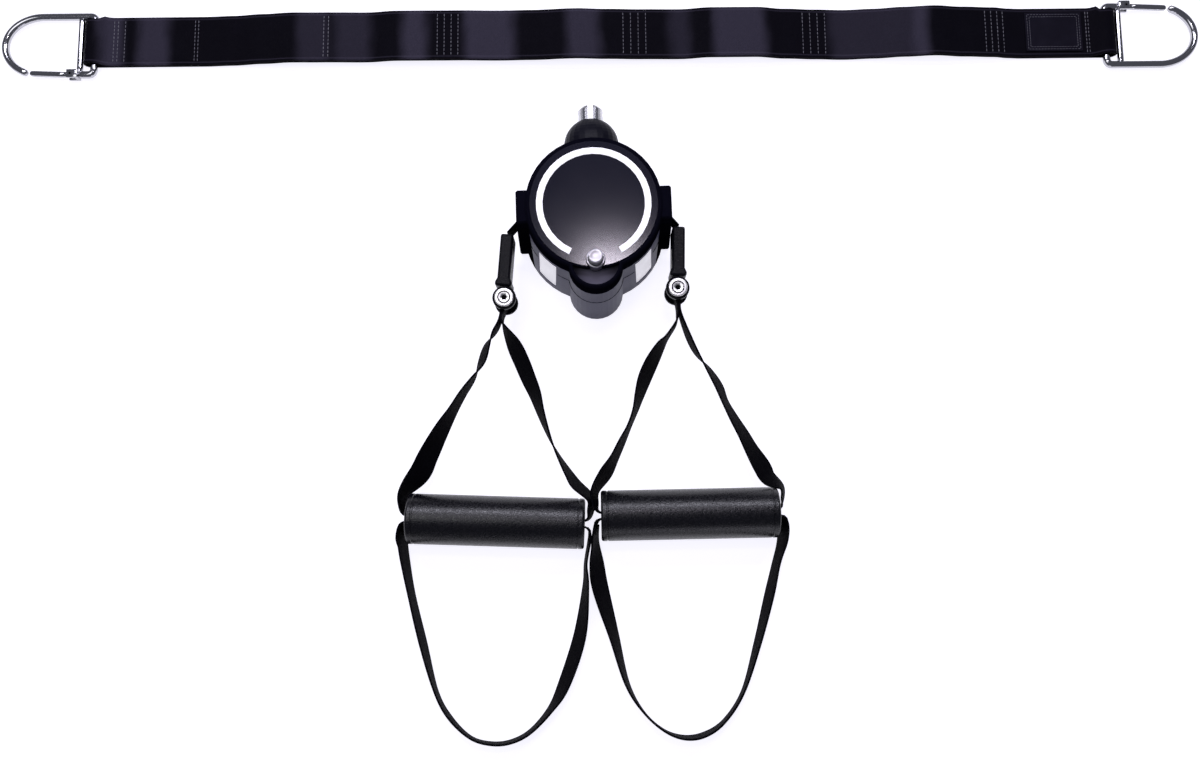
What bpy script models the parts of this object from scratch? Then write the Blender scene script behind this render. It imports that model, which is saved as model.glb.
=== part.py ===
"""Self-winding training strap with two handles, laid out flat beside its anchor strap.

The round housing lies on its back. Its axis is +Z, with z = 0 at the back face. The swivel stud
points to +Y and the handles lie to -Y. All sizes are in metres.
"""
import math

import bmesh
import bpy
from mathutils import Matrix, Vector

CLEARANCE = 0.0003
OVERCUT = 0.002

# Housing: a drum with draft, a round lobe at -Y for the release button and a block on each side
HOUSING_HEIGHT = 0.076
BASE_RADIUS = 0.052
FACE_RADIUS = 0.0468
LOBE_BASE_RADIUS = 0.0198
LOBE_FACE_RADIUS = 0.0186
LOBE_BASE_CENTRE = 0.0462
LOBE_FACE_CENTRE = 0.0404
HOUSING_WALL = 0.0025
FLOOR_THICKNESS = 0.003
EDGE_CHAMFER = 0.0012
SEAM_HEIGHT = 0.042
DECK_TOP = HOUSING_HEIGHT - 0.014
DECK_THICKNESS = 0.004
ROOF_THICKNESS = 0.003
EAR_INNER = 0.040
EAR_BASE_REACH = BASE_RADIUS + 0.0038
EAR_FACE_REACH = FACE_RADIUS + 0.0064
EAR_BASE_LENGTH = 0.029
EAR_FACE_LENGTH = 0.023
EAR_TOP = HOUSING_HEIGHT - 0.002

# Face: disc, ring inlay and the recess in front of the button
DISC_RADIUS = 0.0438
DISC_THICKNESS = 0.0016
RING_OUTER_RADIUS = 0.0393
RING_WIDTH = 0.0044
RING_DEPTH = 0.0009
RING_GAP_ANGLE = math.radians(54)
DISH_RADIUS = 0.0160
DISH_DEPTH = 0.0065

# White side windows
WINDOW_ANGLE = math.radians(45)
WINDOW_WIDTH = 0.0168
WINDOW_BOTTOM = 0.009
WINDOW_TOP = DECK_TOP - DECK_THICKNESS
WINDOW_RECESS = 0.0005
WINDOW_THICKNESS = 0.0016

# Swivel at the top of the housing
SWIVEL_HEIGHT = HOUSING_HEIGHT / 2
NECK_RADIUS = 0.0198
NECK_CENTRE = BASE_RADIUS + 0.0020
NECK_SHOULDER = NECK_CENTRE + 0.0070
STUD_RADIUS = 0.0090
STUD_FLANGE_RADIUS = 0.0134
STUD_FLANGE_THICKNESS = 0.0048
STUD_END = NECK_CENTRE + 0.0285
STUD_CHAMFER = 0.0022
STUD_SLOT = 0.0038
STUD_PIN_HOLE_RADIUS = 0.0021
WASHER_THICKNESS = 0.0022

# Reel, recoil spring and ratchet, all on the housing's axis
AXLE_RADIUS = 0.0050
AXLE_BOTTOM = 0.0010
AXLE_TOP = DECK_TOP - 0.0015
BUSH_WALL = 0.0013
REEL_BOTTOM = 0.0049
REEL_HUB_RADIUS = 0.0090
REEL_CORE_RADIUS = 0.0150
REEL_FLANGE_RADIUS = 0.0395
REEL_FLANGE_THICKNESS = 0.0017
RATCHET_THICKNESS = 0.0048
RATCHET_SEAT_RADIUS = 0.0120
RATCHET_RADIUS = 0.0300
RATCHET_TEETH = 24
RATCHET_TOOTH_DEPTH = 0.0026
SPRING_CUP_RADIUS = 0.0400
SPRING_CUP_WALL = 0.0016
SPRING_CUP_HEIGHT = 0.0110
SPRING_TURNS = 5
SPRING_STRIP = 0.0006
COVER_THICKNESS = 0.0014

# Webbing that winds on the reel
STRAP_WIDTH = 0.018
STRAP_THICKNESS = 0.0014
STRAP_HEIGHT = 0.030
WOUND_RADIUS = 0.0375
ROLLER_X = 0.0475
ROLLER_Y = 0.0035
ROLLER_RADIUS = 0.0030
ROLLER_PIN_RADIUS = 0.0012
ROLLER_PIN_GRIP = 0.0035
SLOT_CLEARANCE = 0.0005
POCKET_SHIFT = 0.0012
MOUTH_ANGLE = math.radians(55)
LEAD_BEND_STEPS = 4
REEL_LINE = WOUND_RADIUS + CLEARANCE + STRAP_THICKNESS / 2
ROLLER_LINE = ROLLER_RADIUS + CLEARANCE + STRAP_THICKNESS / 2

# Release button and its pawl
BUTTON_Y = -0.0395
BUTTON_TOP = HOUSING_HEIGHT + 0.0110
BUTTON_RADIUS = 0.0049
BUTTON_FLANGE_RADIUS = 0.0058
BUTTON_FLANGE_THICKNESS = 0.0014
BUTTON_STEM_RADIUS = 0.0025
STEM_TIP_RADIUS = 0.0008
COLLAR_RADIUS = 0.0064
COLLAR_BOTTOM = HOUSING_HEIGHT - 0.0055
COLLAR_TOP = HOUSING_HEIGHT + 0.0040
BUTTON_SPRING_TURNS = 4
BUTTON_SPRING_WIRE = 0.00045
PAWL_PIVOT = (0.0100, -0.0380)
PAWL_PIN_RADIUS = 0.0016
PAWL_PIN_TOP = DECK_TOP - 0.0015
PAWL_OUTLINE = (
    (-0.0025, -0.0382), (0.0062, -0.0386), (0.0072, -0.0412), (0.0125, -0.0416),
    (0.0152, -0.0386), (0.0232, -0.0265), (0.0218, -0.0222), (0.0192, -0.0242),
    (0.0160, -0.0295), (0.0118, -0.0346), (0.0060, -0.0356), (-0.0025, -0.0358),
)

# Case screws
SCREW_RADIUS = 0.0015
SCREW_HEAD_RADIUS = 0.0029
SCREW_HEAD_HEIGHT = 0.0018
SCREW_HEAD_SINK = 0.0006
SCREW_LENGTH = DECK_TOP - 0.0080
BOSS_RADIUS = 0.0030
BOSS_PLACES = ((0.0207, 0.0388), (0.0110, -0.0510))

# Strap ends, links and handles
SLEEVE_THICKNESS = 0.0092
SLEEVE_FLARE = 0.0120
SLEEVE_HEIGHT = 0.021
LINK_RADIUS = 0.0084
LINK_PLATE = 0.0024
LINK_BOLT_RADIUS = 0.0030
LINK_HEAD_RADIUS = 0.0067
LINK_HEAD_HEIGHT = 0.0024
LINK_SOCKET_RADIUS = 0.0022
LINK_SOCKET_DEPTH = 0.0015
HANDLE_WEBBING_WIDTH = 0.016
HANDLE_WEBBING_THICKNESS = 0.0014
GRIP_RADIUS = 0.0178
GRIP_LENGTH = 0.125
GRIP_ROUNDING = 0.0016
TUBE_RADIUS = 0.0112
TUBE_BORE_RADIUS = 0.0092
WEBBING_OFFSET = 0.0016
# Lean in degrees of the webbing where it turns out of a grip's end
BEND_LEAN = 20.0
GRIP_HEIGHT = GRIP_RADIUS + 0.0002

# Places of each side's pieces, with x measured from the side block's face at the base;
# webbing keys are x, y, height and lean in degrees
SIDE_PLACES = {
    "left": {
        "sleeve": ((-0.0064, -0.0092), (-0.0103, -0.0470)),
        "bolt": (-0.0096, -0.0558),
        "apex": (-0.0132, -0.0712),
        "grip": (-0.0207, -0.2120),
        "grip_turn": math.radians(-3.7),
        "strand_west": (
            (-0.0184, -0.0786, 0.0287, 0), (-0.0238, -0.0877, 0.0277, -21),
            (-0.0280, -0.0990, 0.0266, -24), (-0.0342, -0.1102, 0.0255, 0),
            (-0.0423, -0.1213, 0.0244, 9), (-0.0493, -0.1324, 0.0234, 15),
            (-0.0564, -0.1435, 0.0223, 29), (-0.0628, -0.1546, 0.0212, 42),
            (-0.0688, -0.1657, 0.0202, 55), (-0.0742, -0.1762, 0.0192, 62)),
        "strand_east": (
            (0.0365, -0.1880, 0.0183, -26), (0.0317, -0.1805, 0.0191, -19),
            (0.0254, -0.1690, 0.0202, -7), (0.0201, -0.1575, 0.0212, 3),
            (0.0160, -0.1460, 0.0223, 12), (0.0125, -0.1346, 0.0234, 21),
            (0.0094, -0.1231, 0.0244, 32), (0.0050, -0.1116, 0.0255, 40),
            (0.0007, -0.1000, 0.0266, 43), (-0.0044, -0.0880, 0.0277, 38)),
        "loop": (
            (-0.0882, -0.2245, 0.0125, 14), (-0.0872, -0.2380, 0.0090, 12),
            (-0.0829, -0.2626, 0.0084, 7), (-0.0752, -0.2961, 0.0084, 8),
            (-0.0665, -0.3294, 0.0084, -2), (-0.0571, -0.3472, 0.0084, -3),
            (-0.0433, -0.3609, 0.0084, -7), (-0.0295, -0.3656, 0.0084, -5),
            (-0.0155, -0.3651, 0.0084, -2), (-0.0014, -0.3587, 0.0084, 2),
            (0.0130, -0.3443, 0.0086, 10), (0.0235, -0.3271, 0.0081, 29),
            (0.0355, -0.2946, 0.0079, 32), (0.0408, -0.2613, 0.0090, 15),
            (0.0415, -0.2440, 0.0087, 6)),
        "loop_lean_start": 18.0,
        "loop_lean_end": 6.0,
    },
    "right": {
        "sleeve": ((0.0044, -0.0080), (0.0026, -0.0440)),
        "bolt": (0.0017, -0.0529),
        "apex": (0.0025, -0.0702),
        "grip": (0.0044, -0.2117),
        "grip_turn": math.radians(-0.8),
        "strand_west": (
            (-0.0002, -0.0768, 0.0293, 3), (-0.0070, -0.0865, 0.0282, 7),
            (-0.0114, -0.0921, 0.0277, 21), (-0.0181, -0.1033, 0.0266, 34),
            (-0.0235, -0.1145, 0.0255, 35), (-0.0275, -0.1257, 0.0244, 25),
            (-0.0310, -0.1369, 0.0234, 13), (-0.0358, -0.1481, 0.0223, 9),
            (-0.0415, -0.1592, 0.0212, 16), (-0.0473, -0.1704, 0.0202, 21),
            (-0.0538, -0.1810, 0.0191, 33)),
        "strand_east": (
            (0.0620, -0.1880, 0.0187, -50), (0.0573, -0.1797, 0.0196, -57),
            (0.0508, -0.1681, 0.0207, -44), (0.0452, -0.1566, 0.0218, -36),
            (0.0389, -0.1450, 0.0228, -29), (0.0333, -0.1335, 0.0239, -23),
            (0.0291, -0.1220, 0.0250, -27), (0.0226, -0.1104, 0.0260, -19),
            (0.0146, -0.0987, 0.0271, 0), (0.0092, -0.0871, 0.0282, 5)),
        "loop": (
            (-0.0631, -0.2310, 0.0105, 18), (-0.0624, -0.2450, 0.0071, 38),
            (-0.0604, -0.2618, 0.0067, 44), (-0.0519, -0.2954, 0.0080, 24),
            (-0.0437, -0.3286, 0.0084, 8), (-0.0328, -0.3483, 0.0084, -3),
            (-0.0193, -0.3610, 0.0084, -5), (-0.0056, -0.3663, 0.0084, -2),
            (0.0085, -0.3650, 0.0084, -1), (0.0229, -0.3564, 0.0084, -4),
            (0.0372, -0.3369, 0.0084, -3), (0.0491, -0.3044, 0.0084, 7),
            (0.0593, -0.2714, 0.0083, 14), (0.0655, -0.2495, 0.0084, 10),
            (0.0700, -0.2355, 0.0092, 14)),
        "loop_lean_start": 12.0,
        "loop_lean_end": 18.0,
    },
}


def placed(value, side):
    """A side's places moved from its block's face into the part's own frame."""
    if isinstance(value, float):
        return value
    if isinstance(value[0], float):
        return (value[0] + side * EAR_BASE_REACH, *value[1:])
    return tuple(placed(item, side) for item in value)


SIDES = {word: {piece: placed(value, side) for piece, value in places.items()}
         for side, (word, places) in zip((-1, 1), SIDE_PLACES.items())}

# Anchor strap, with a carabiner at each end
ANCHOR_CENTRE = (0.0099, 0.1538)
ANCHOR_TURN = math.radians(-1.4)
ANCHOR_HALF_LENGTH = 0.3869
ANCHOR_WIDTH = 0.039
ANCHOR_LAYER = 0.0015
ANCHOR_LAYER_GAP = 0.0007
ANCHOR_REST = 0.0003
LABEL_LENGTH = 0.043
LABEL_WIDTH = 0.031
LABEL_THICKNESS = 0.0008
LABEL_PLACE = ANCHOR_HALF_LENGTH - 0.0390
# Centre and length of each sewn place along the strap
TACKS = tuple((share * ANCHOR_HALF_LENGTH, length) for share, length in (
    (-0.9434, 0.006), (-0.8012, 0.008), (-0.5410, 0.010), (-0.3006, 0.024),
    (0.0672, 0.026), (0.4228, 0.026), (0.7806, 0.022),
)) + ((LABEL_PLACE, LABEL_LENGTH + 0.006),)
# How far the webbing stands off the ground, by share of its half length
LIFTS = (
    (-1.000, 0.0), (-0.786, 0.0), (-0.727, 0.0012), (-0.668, 0.0037), (-0.609, 0.0058), (-0.550, 0.0054),
    (-0.461, 0.0046), (-0.402, 0.0069), (-0.284, 0.0066), (-0.196, 0.0055), (-0.137, 0.0060), (-0.048, 0.0081),
    (0.011, 0.0066), (0.080, 0.0054), (0.158, 0.0048), (0.217, 0.0076), (0.306, 0.0075), (0.365, 0.0040),
    (0.424, 0.0022), (0.483, 0.0009), (0.542, 0.0025), (0.601, 0.0052), (0.660, 0.0071), (0.719, 0.0045),
    (0.778, 0.0030), (0.811, 0.0008), (0.832, 0.0), (1.000, 0.0),
)
END_TAPER = 0.0120
ANCHOR_STEP = 0.0100

WIRE_RADIUS = 0.00275
CARABINER_LENGTH = 0.0685
CARABINER_HALF_WIDTH = 0.0234
CARABINER_CORNER = 0.0036
CROSS_BAR_OFFSET = 0.0107
CURVE_START = 0.0400
GATE_HINGE = 0.0165
GATE_TIP = 0.0500
GATE_RADIUS = 0.0023
GATE_PIN_RADIUS = 0.0009
TONGUE_THICKNESS = 0.0026
TONGUE_RADIUS = 0.0024
HINGE_BLOCK_LENGTH = 0.0085
HINGE_BLOCK_WIDTH = 0.0066
HINGE_BLOCK_HEIGHT = 0.0074
# The carabiners hang a little to the near side of the webbing's middle, in an eye with some slack
CARABINER_SHIFT = -0.0037
EYE_SLACK = 0.0030
EYE_TRIM = 0.0034
BAR_LOOP_RADIUS = WIRE_RADIUS + 2 * CLEARANCE
BAR_HEIGHT = ANCHOR_REST + ANCHOR_LAYER + BAR_LOOP_RADIUS


def empty_scene():
    """Remove every object, so the model is the file's only content."""
    for item in list(bpy.data.objects):
        bpy.data.objects.remove(item, do_unlink=True)


def new_collection(name):
    collection = bpy.data.collections.new(name)
    bpy.context.scene.collection.children.link(collection)
    return collection


def make_material(name, colour, roughness, metallic=0.0):
    material = bpy.data.materials.new(name)
    material.use_nodes = True
    shader = material.node_tree.nodes["Principled BSDF"]
    shader.inputs["Base Color"].default_value = (*colour, 1.0)
    shader.inputs["Roughness"].default_value = roughness
    shader.inputs["Metallic"].default_value = metallic
    material.diffuse_color = (*colour, 1.0)
    return material


def place(name, bm, material=None):
    """Turn a bmesh into a named object: a part if it has a material, otherwise a cutter."""
    bmesh.ops.recalc_face_normals(bm, faces=bm.faces)
    mesh = bpy.data.meshes.new(name)
    bm.to_mesh(mesh)
    bm.free()
    item = bpy.data.objects.new(name, mesh)
    if material is None:
        CUTTERS.objects.link(item)
        item.hide_render = True
        item.display_type = "WIRE"
    else:
        PARTS.objects.link(item)
        mesh.materials.append(material)
    return item


def shade(item, angle=35):
    item.data.shade_smooth()
    item.data.set_sharp_from_angle(angle=math.radians(angle))
    return item


def boolean(target, tool, operation):
    modifier = target.modifiers.new(tool.name, "BOOLEAN")
    modifier.operation = operation
    modifier.solver = "EXACT"
    modifier.object = tool


def cut(target, *tools):
    for tool in tools:
        boolean(target, tool, "DIFFERENCE")


def join(target, *tools):
    for tool in tools:
        boolean(target, tool, "UNION")


def round_edges(item, width, segments=2):
    modifier = item.modifiers.new("rounding", "BEVEL")
    modifier.width = width
    modifier.segments = segments
    modifier.limit_method = "ANGLE"
    modifier.angle_limit = math.radians(50)


def loft(name, sections, material=None):
    """Closed solid through outlines with equal point counts, given as (points, height)."""
    bm = bmesh.new()
    rings = [[bm.verts.new((x, y, z)) for x, y in points] for points, z in sections]
    for low, high in zip(rings, rings[1:]):
        for i in range(len(low)):
            j = (i + 1) % len(low)
            bm.faces.new((low[i], low[j], high[j], high[i]))
    bm.faces.new(rings[0])
    bm.faces.new(rings[-1])
    return place(name, bm, material)


def prism(name, points, low, high, material=None):
    return loft(name, ((points, low), (points, high)), material)


def circle(radius, x=0.0, y=0.0, count=32, start=0.0):
    step = 2 * math.pi / count
    return [(x + radius * math.cos(start + i * step), y + radius * math.sin(start + i * step))
            for i in range(count)]


def cylinder(name, radius, low, high, x=0.0, y=0.0, material=None, count=24):
    return prism(name, circle(radius, x, y, count), low, high, material)


def block(name, size, centre, turn=0.0, material=None):
    bm = bmesh.new()
    bmesh.ops.create_cube(bm, size=1.0)
    bmesh.ops.scale(bm, vec=size, verts=bm.verts)
    bmesh.ops.rotate(bm, cent=(0, 0, 0), matrix=Matrix.Rotation(turn, 3, "Z"), verts=bm.verts)
    bmesh.ops.translate(bm, vec=centre, verts=bm.verts)
    return place(name, bm, material)


def turned(name, profile, material=None, steps=32):
    """Solid of revolution about Z through a closed (radius, height) profile, given either way round."""
    area = sum(a[0] * b[1] - b[0] * a[1] for a, b in zip(profile, (*profile[1:], profile[0])))
    if area > 0:
        profile = list(reversed(profile))
    bm = bmesh.new()
    ring = [bm.verts.new((radius, 0, height)) for radius, height in profile]
    on_axis = [i for i, point in enumerate(profile) if point[0] == 0]
    for i in range(len(ring)):
        j = (i + 1) % len(ring)
        if not (i in on_axis and j in on_axis):
            bm.edges.new((ring[i], ring[j]))
    item = place(name, bm, material)
    screw = item.modifiers.new("turning", "SCREW")
    screw.axis = "Z"
    screw.steps = steps
    screw.render_steps = steps
    screw.use_merge_vertices = True
    screw.merge_threshold = 0.00001
    return item


def lay_along_y(item, height):
    """Point a turned piece's axis to +Y at the given height."""
    item.rotation_euler.x = math.radians(-90)
    item.location.z = height
    return item


def mixed(base, face, height):
    return base + (face - base) * height / HOUSING_HEIGHT


def drum_outline(height, inset=0.0):
    """Outline of the drum and its lobe at one height, moved in by inset."""
    radius = mixed(BASE_RADIUS, FACE_RADIUS, height) - inset
    lobe = mixed(LOBE_BASE_RADIUS, LOBE_FACE_RADIUS, height) - inset
    centre = -mixed(LOBE_BASE_CENTRE, LOBE_FACE_CENTRE, height)
    meet_y = (radius ** 2 - lobe ** 2 + centre ** 2) / (2 * centre)
    meet_x = math.sqrt(radius ** 2 - meet_y ** 2)
    start = math.atan2(meet_y, meet_x)
    drum = arc((0, 0), radius, start, math.pi - start, 40)
    lobe_start = math.atan2(meet_y - centre, meet_x)
    return drum + arc((0, centre), lobe, math.pi - lobe_start, 2 * math.pi + lobe_start, 14)[1:-1]


def arc(centre, radius, start, end, count):
    return [(centre[0] + radius * math.cos(start + (end - start) * i / count),
             centre[1] + radius * math.sin(start + (end - start) * i / count))
            for i in range(count + 1)]


def ear_outline(side, height, inset=0.0):
    reach = mixed(EAR_BASE_REACH, EAR_FACE_REACH, height) - inset
    half = mixed(EAR_BASE_LENGTH, EAR_FACE_LENGTH, height) / 2 - inset
    corner = EDGE_CHAMFER
    return [(side * x, y) for x, y in (
        (EAR_INNER, -half), (reach - corner, -half), (reach, -half + corner),
        (reach, half - corner), (reach - corner, half), (EAR_INNER, half))]


def drum_solid(name, heights, inset=0.0, chamfers=None, material=None):
    chamfers = chamfers or {}
    sections = [(drum_outline(z, inset + chamfers.get(z, 0.0)), z) for z in heights]
    return loft(name, sections, material)


def ear_solids(name, heights, chamfers=None):
    chamfers = chamfers or {}
    return [loft(f"{name}_{word}", [(ear_outline(side, z, chamfers.get(z, 0.0)), z)
                                    for z in heights])
            for word, side in (("left", -1), ("right", 1))]


def window_cutters(name, width, low, high):
    """Blocks through the housing's wall, one on each side of the lobe."""
    cutters = []
    for word, side in (("left", -1), ("right", 1)):
        direction = -math.pi / 2 + side * WINDOW_ANGLE
        reach = (BASE_RADIUS + FACE_RADIUS) / 2
        centre = (reach * math.cos(direction), reach * math.sin(direction), (low + high) / 2)
        cutters.append(block(f"{name}_{word}", (BASE_RADIUS / 3, width, high - low), centre, direction))
    return cutters


def belt_normal(side):
    """Angle of the reel's radius where a strap leaves it.

    Both straps run out as the reel turns one way, so the left one leaves on an outer tangent to
    its roller and the right one on a crossed tangent, over the far side of its roller.
    """
    reach = REEL_LINE + side * ROLLER_LINE
    bearing = math.atan2(ROLLER_Y, side * ROLLER_X)
    return bearing - math.acos(reach / math.hypot(ROLLER_X, ROLLER_Y))


def mouth_reach():
    return mixed(EAR_BASE_REACH, EAR_FACE_REACH, STRAP_HEIGHT)


def lead_plan(side, over_run=0.0):
    """Plan route of a strap from the reel, round its roller, to its mouth in the block's side."""
    normal = belt_normal(side)
    leave = (REEL_LINE * math.cos(normal), REEL_LINE * math.sin(normal))
    out = -MOUTH_ANGLE if side == 1 else MOUTH_ANGLE - math.pi
    first = normal + (math.pi if side == 1 else 0.0)
    last = out + side * math.pi / 2
    first = last + math.remainder(first - last, 2 * math.pi)
    bend = arc((side * ROLLER_X, ROLLER_Y), ROLLER_LINE, first, last, LEAD_BEND_STEPS)
    run = (mouth_reach() + over_run - abs(bend[-1][0])) / math.cos(MOUTH_ANGLE)
    mouth = (bend[-1][0] + run * math.cos(out), bend[-1][1] + run * math.sin(out))
    return [leave] + bend + [mouth]


def catmull(points, closed, steps):
    """Smooth route through the given points; each may carry further values after x, y and z."""
    count = len(points)
    spans = count if closed else count - 1
    route = []
    for i in range(spans):
        if closed:
            four = [points[(i + k - 1) % count] for k in range(4)]
        else:
            four = [points[min(max(i + k - 1, 0), count - 1)] for k in range(4)]
        for s in range(steps):
            t = s / steps
            route.append(tuple(
                0.5 * (2 * b + (c - a) * t + (2 * a - 5 * b + 4 * c - d) * t * t
                       + (3 * b - a - 3 * c + d) * t ** 3)
                for a, b, c, d in zip(*four)))
    if not closed:
        route.append(tuple(float(value) for value in points[-1]))
    return route


def webbing(name, route, width, thickness, closed, material):
    """Flat band swept along (x, y, z, lean in degrees); lean 0 stands it on its edge."""
    bm = bmesh.new()
    rings = []
    count = len(route)
    for i, (x, y, z, lean) in enumerate(route):
        ahead = route[(i + 1) % count] if closed or i < count - 1 else route[i]
        behind = route[i - 1] if closed or i > 0 else route[i]
        run = (Vector(ahead[:3]) - Vector(behind[:3])).normalized()
        upright = (Vector((0, 0, 1)) - run * run.z).normalized()
        sideways = run.cross(upright)
        angle = math.radians(lean)
        wide = upright * math.cos(angle) + sideways * math.sin(angle)
        thin = run.cross(wide)
        rings.append([bm.verts.new(Vector((x, y, z)) + wide * u * width / 2 + thin * v * thickness / 2)
                      for u, v in ((-1, -1), (1, -1), (1, 1), (-1, 1))])
    pairs = list(zip(rings, rings[1:]))
    if closed:
        pairs.append((rings[-1], rings[0]))
    else:
        bm.faces.new(rings[0])
        bm.faces.new(rings[-1])
    for a, b in pairs:
        for k in range(4):
            bm.faces.new((a[k], a[(k + 1) % 4], b[(k + 1) % 4], b[k]))
    return place(name, bm, material)


def wire(name, points, radius, material=None, closed=False, resolution=2):
    """Round wire along points, as a closed mesh."""
    curve = bpy.data.curves.new(name + "_line", "CURVE")
    curve.dimensions = "3D"
    curve.bevel_depth = radius
    curve.bevel_resolution = resolution
    curve.use_fill_caps = not closed
    spline = curve.splines.new("POLY")
    spline.points.add(len(points) - 1)
    for point, place_of in zip(spline.points, points):
        point.co = (*place_of, 1.0)
    spline.use_cyclic_u = closed
    guide = bpy.data.objects.new(name + "_line", curve)
    CUTTERS.objects.link(guide)
    evaluated = guide.evaluated_get(bpy.context.evaluated_depsgraph_get())
    mesh = bpy.data.meshes.new_from_object(evaluated)
    bm = bmesh.new()
    bm.from_mesh(mesh)
    bmesh.ops.remove_doubles(bm, verts=bm.verts, dist=0.00001)
    bpy.data.objects.remove(guide, do_unlink=True)
    bpy.data.meshes.remove(mesh)
    return place(name, bm, material)


def c_band(outer, inner, gap_angle):
    """Open ring outline, with its gap centred on -Y."""
    start = -math.pi / 2 + gap_angle / 2
    end = 3 * math.pi / 2 - gap_angle / 2
    return arc((0, 0), outer, start, end, 32) + arc((0, 0), inner, end, start, 32)


def strap_slots(low, high):
    """Cutters for both straps' way out: a slot along the webbing and a pocket for its roller."""
    cutters = []
    for word, side in (("left", -1), ("right", 1)):
        middle = (low + high) / 2
        route = [(x, y, middle, 0) for x, y in lead_plan(side, OVERCUT)]
        slot = webbing(f"strap_slot_{word}", route, high - low,
                       STRAP_THICKNESS + 2 * SLOT_CLEARANCE, False, None)
        reach = ROLLER_LINE + STRAP_THICKNESS / 2 + SLOT_CLEARANCE + POCKET_SHIFT
        pocket = cylinder(f"roller_pocket_{word}", reach, low, high,
                          side * (ROLLER_X - POCKET_SHIFT), ROLLER_Y)
        cutters += [slot, pocket]
    return cutters


def pin_holes(name, low, high):
    return [cylinder(f"{name}_{word}", ROLLER_PIN_RADIUS + CLEARANCE, low, high,
                     side * ROLLER_X, ROLLER_Y, count=10)
            for word, side in (("left", -1), ("right", 1))]


def roller_posts(name, low, high):
    return [cylinder(f"{name}_{word}", ROLLER_RADIUS, low, high, side * ROLLER_X, ROLLER_Y, count=12)
            for word, side in (("left", -1), ("right", 1))]


def screw_places():
    return [(f"{word}_{row}", side * x, y) for row, (x, y) in zip(("top", "bottom"), BOSS_PLACES)
            for word, side in (("left", -1), ("right", 1))]


def make_rear_shell():
    low = STRAP_HEIGHT - STRAP_WIDTH / 2 - SLOT_CLEARANCE
    shell = drum_solid("rear_shell", (0, EDGE_CHAMFER, SEAM_HEIGHT), chamfers={0: EDGE_CHAMFER},
                       material=BLACK)
    join(shell, *ear_solids("rear_ear", (0, EDGE_CHAMFER, SEAM_HEIGHT), {0: EDGE_CHAMFER}))
    cut(shell, drum_solid("rear_cavity", (FLOOR_THICKNESS, SEAM_HEIGHT + OVERCUT), HOUSING_WALL))
    join(shell, *roller_posts("rear_post", FLOOR_THICKNESS - OVERCUT / 2, low))
    for name, x, y in screw_places():
        join(shell, cylinder(f"rear_boss_{name}", BOSS_RADIUS, FLOOR_THICKNESS - OVERCUT / 2,
                             SEAM_HEIGHT, x, y, count=12))
    for name, x, y in screw_places():
        cut(shell, cylinder(f"rear_screw_hole_{name}", SCREW_RADIUS + CLEARANCE, -OVERCUT,
                            SEAM_HEIGHT + OVERCUT, x, y, count=10))
        cut(shell, cylinder(f"rear_head_hole_{name}", SCREW_HEAD_RADIUS + CLEARANCE, -OVERCUT,
                            SCREW_HEAD_SINK + SCREW_HEAD_HEIGHT + CLEARANCE, x, y, count=12))
    cut(shell, *strap_slots(low, SEAM_HEIGHT + OVERCUT))
    cut(shell, *pin_holes("rear_pin_hole", low - ROLLER_PIN_GRIP - CLEARANCE, low + OVERCUT))
    cut(shell, *window_cutters("rear_window_hole", WINDOW_WIDTH, WINDOW_BOTTOM, SEAM_HEIGHT + OVERCUT))
    cut(shell, cylinder("axle_pocket", AXLE_RADIUS + CLEARANCE, AXLE_BOTTOM - CLEARANCE,
                        FLOOR_THICKNESS + OVERCUT))
    return shade(shell)


def make_middle_shell():
    bottom = SEAM_HEIGHT + CLEARANCE
    deck_bottom = DECK_TOP - DECK_THICKNESS
    shell = drum_solid("middle_shell", (bottom, DECK_TOP), material=BLACK)
    join(shell, *ear_solids("middle_ear", (bottom, DECK_TOP)))
    cut(shell, drum_solid("middle_cavity", (bottom - OVERCUT, deck_bottom), HOUSING_WALL))
    join(shell, *roller_posts("middle_post", bottom, deck_bottom + OVERCUT / 2))
    for name, x, y in screw_places():
        join(shell, cylinder(f"middle_boss_{name}", BOSS_RADIUS, bottom, deck_bottom + OVERCUT / 2,
                             x, y, count=12))
    for name, x, y in screw_places():
        cut(shell, cylinder(f"middle_screw_hole_{name}", SCREW_RADIUS + CLEARANCE, bottom - OVERCUT,
                            SCREW_HEAD_SINK + SCREW_LENGTH + CLEARANCE, x, y, count=10))
    cut(shell, *pin_holes("middle_pin_hole", bottom - OVERCUT, bottom + ROLLER_PIN_GRIP + CLEARANCE))
    cut(shell, *window_cutters("middle_window_hole", WINDOW_WIDTH, bottom - OVERCUT, WINDOW_TOP))
    cut(shell, cylinder("axle_hole", AXLE_RADIUS + CLEARANCE, deck_bottom - OVERCUT,
                        AXLE_TOP + CLEARANCE))
    cut(shell, cylinder("stem_hole", BUTTON_STEM_RADIUS + CLEARANCE, deck_bottom - OVERCUT,
                        DECK_TOP + OVERCUT, 0, BUTTON_Y, count=16))
    cut(shell, cylinder("pawl_pin_hole", PAWL_PIN_RADIUS + CLEARANCE, deck_bottom - OVERCUT,
                        PAWL_PIN_TOP + CLEARANCE, *PAWL_PIVOT, count=12))
    return shade(shell)


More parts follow.
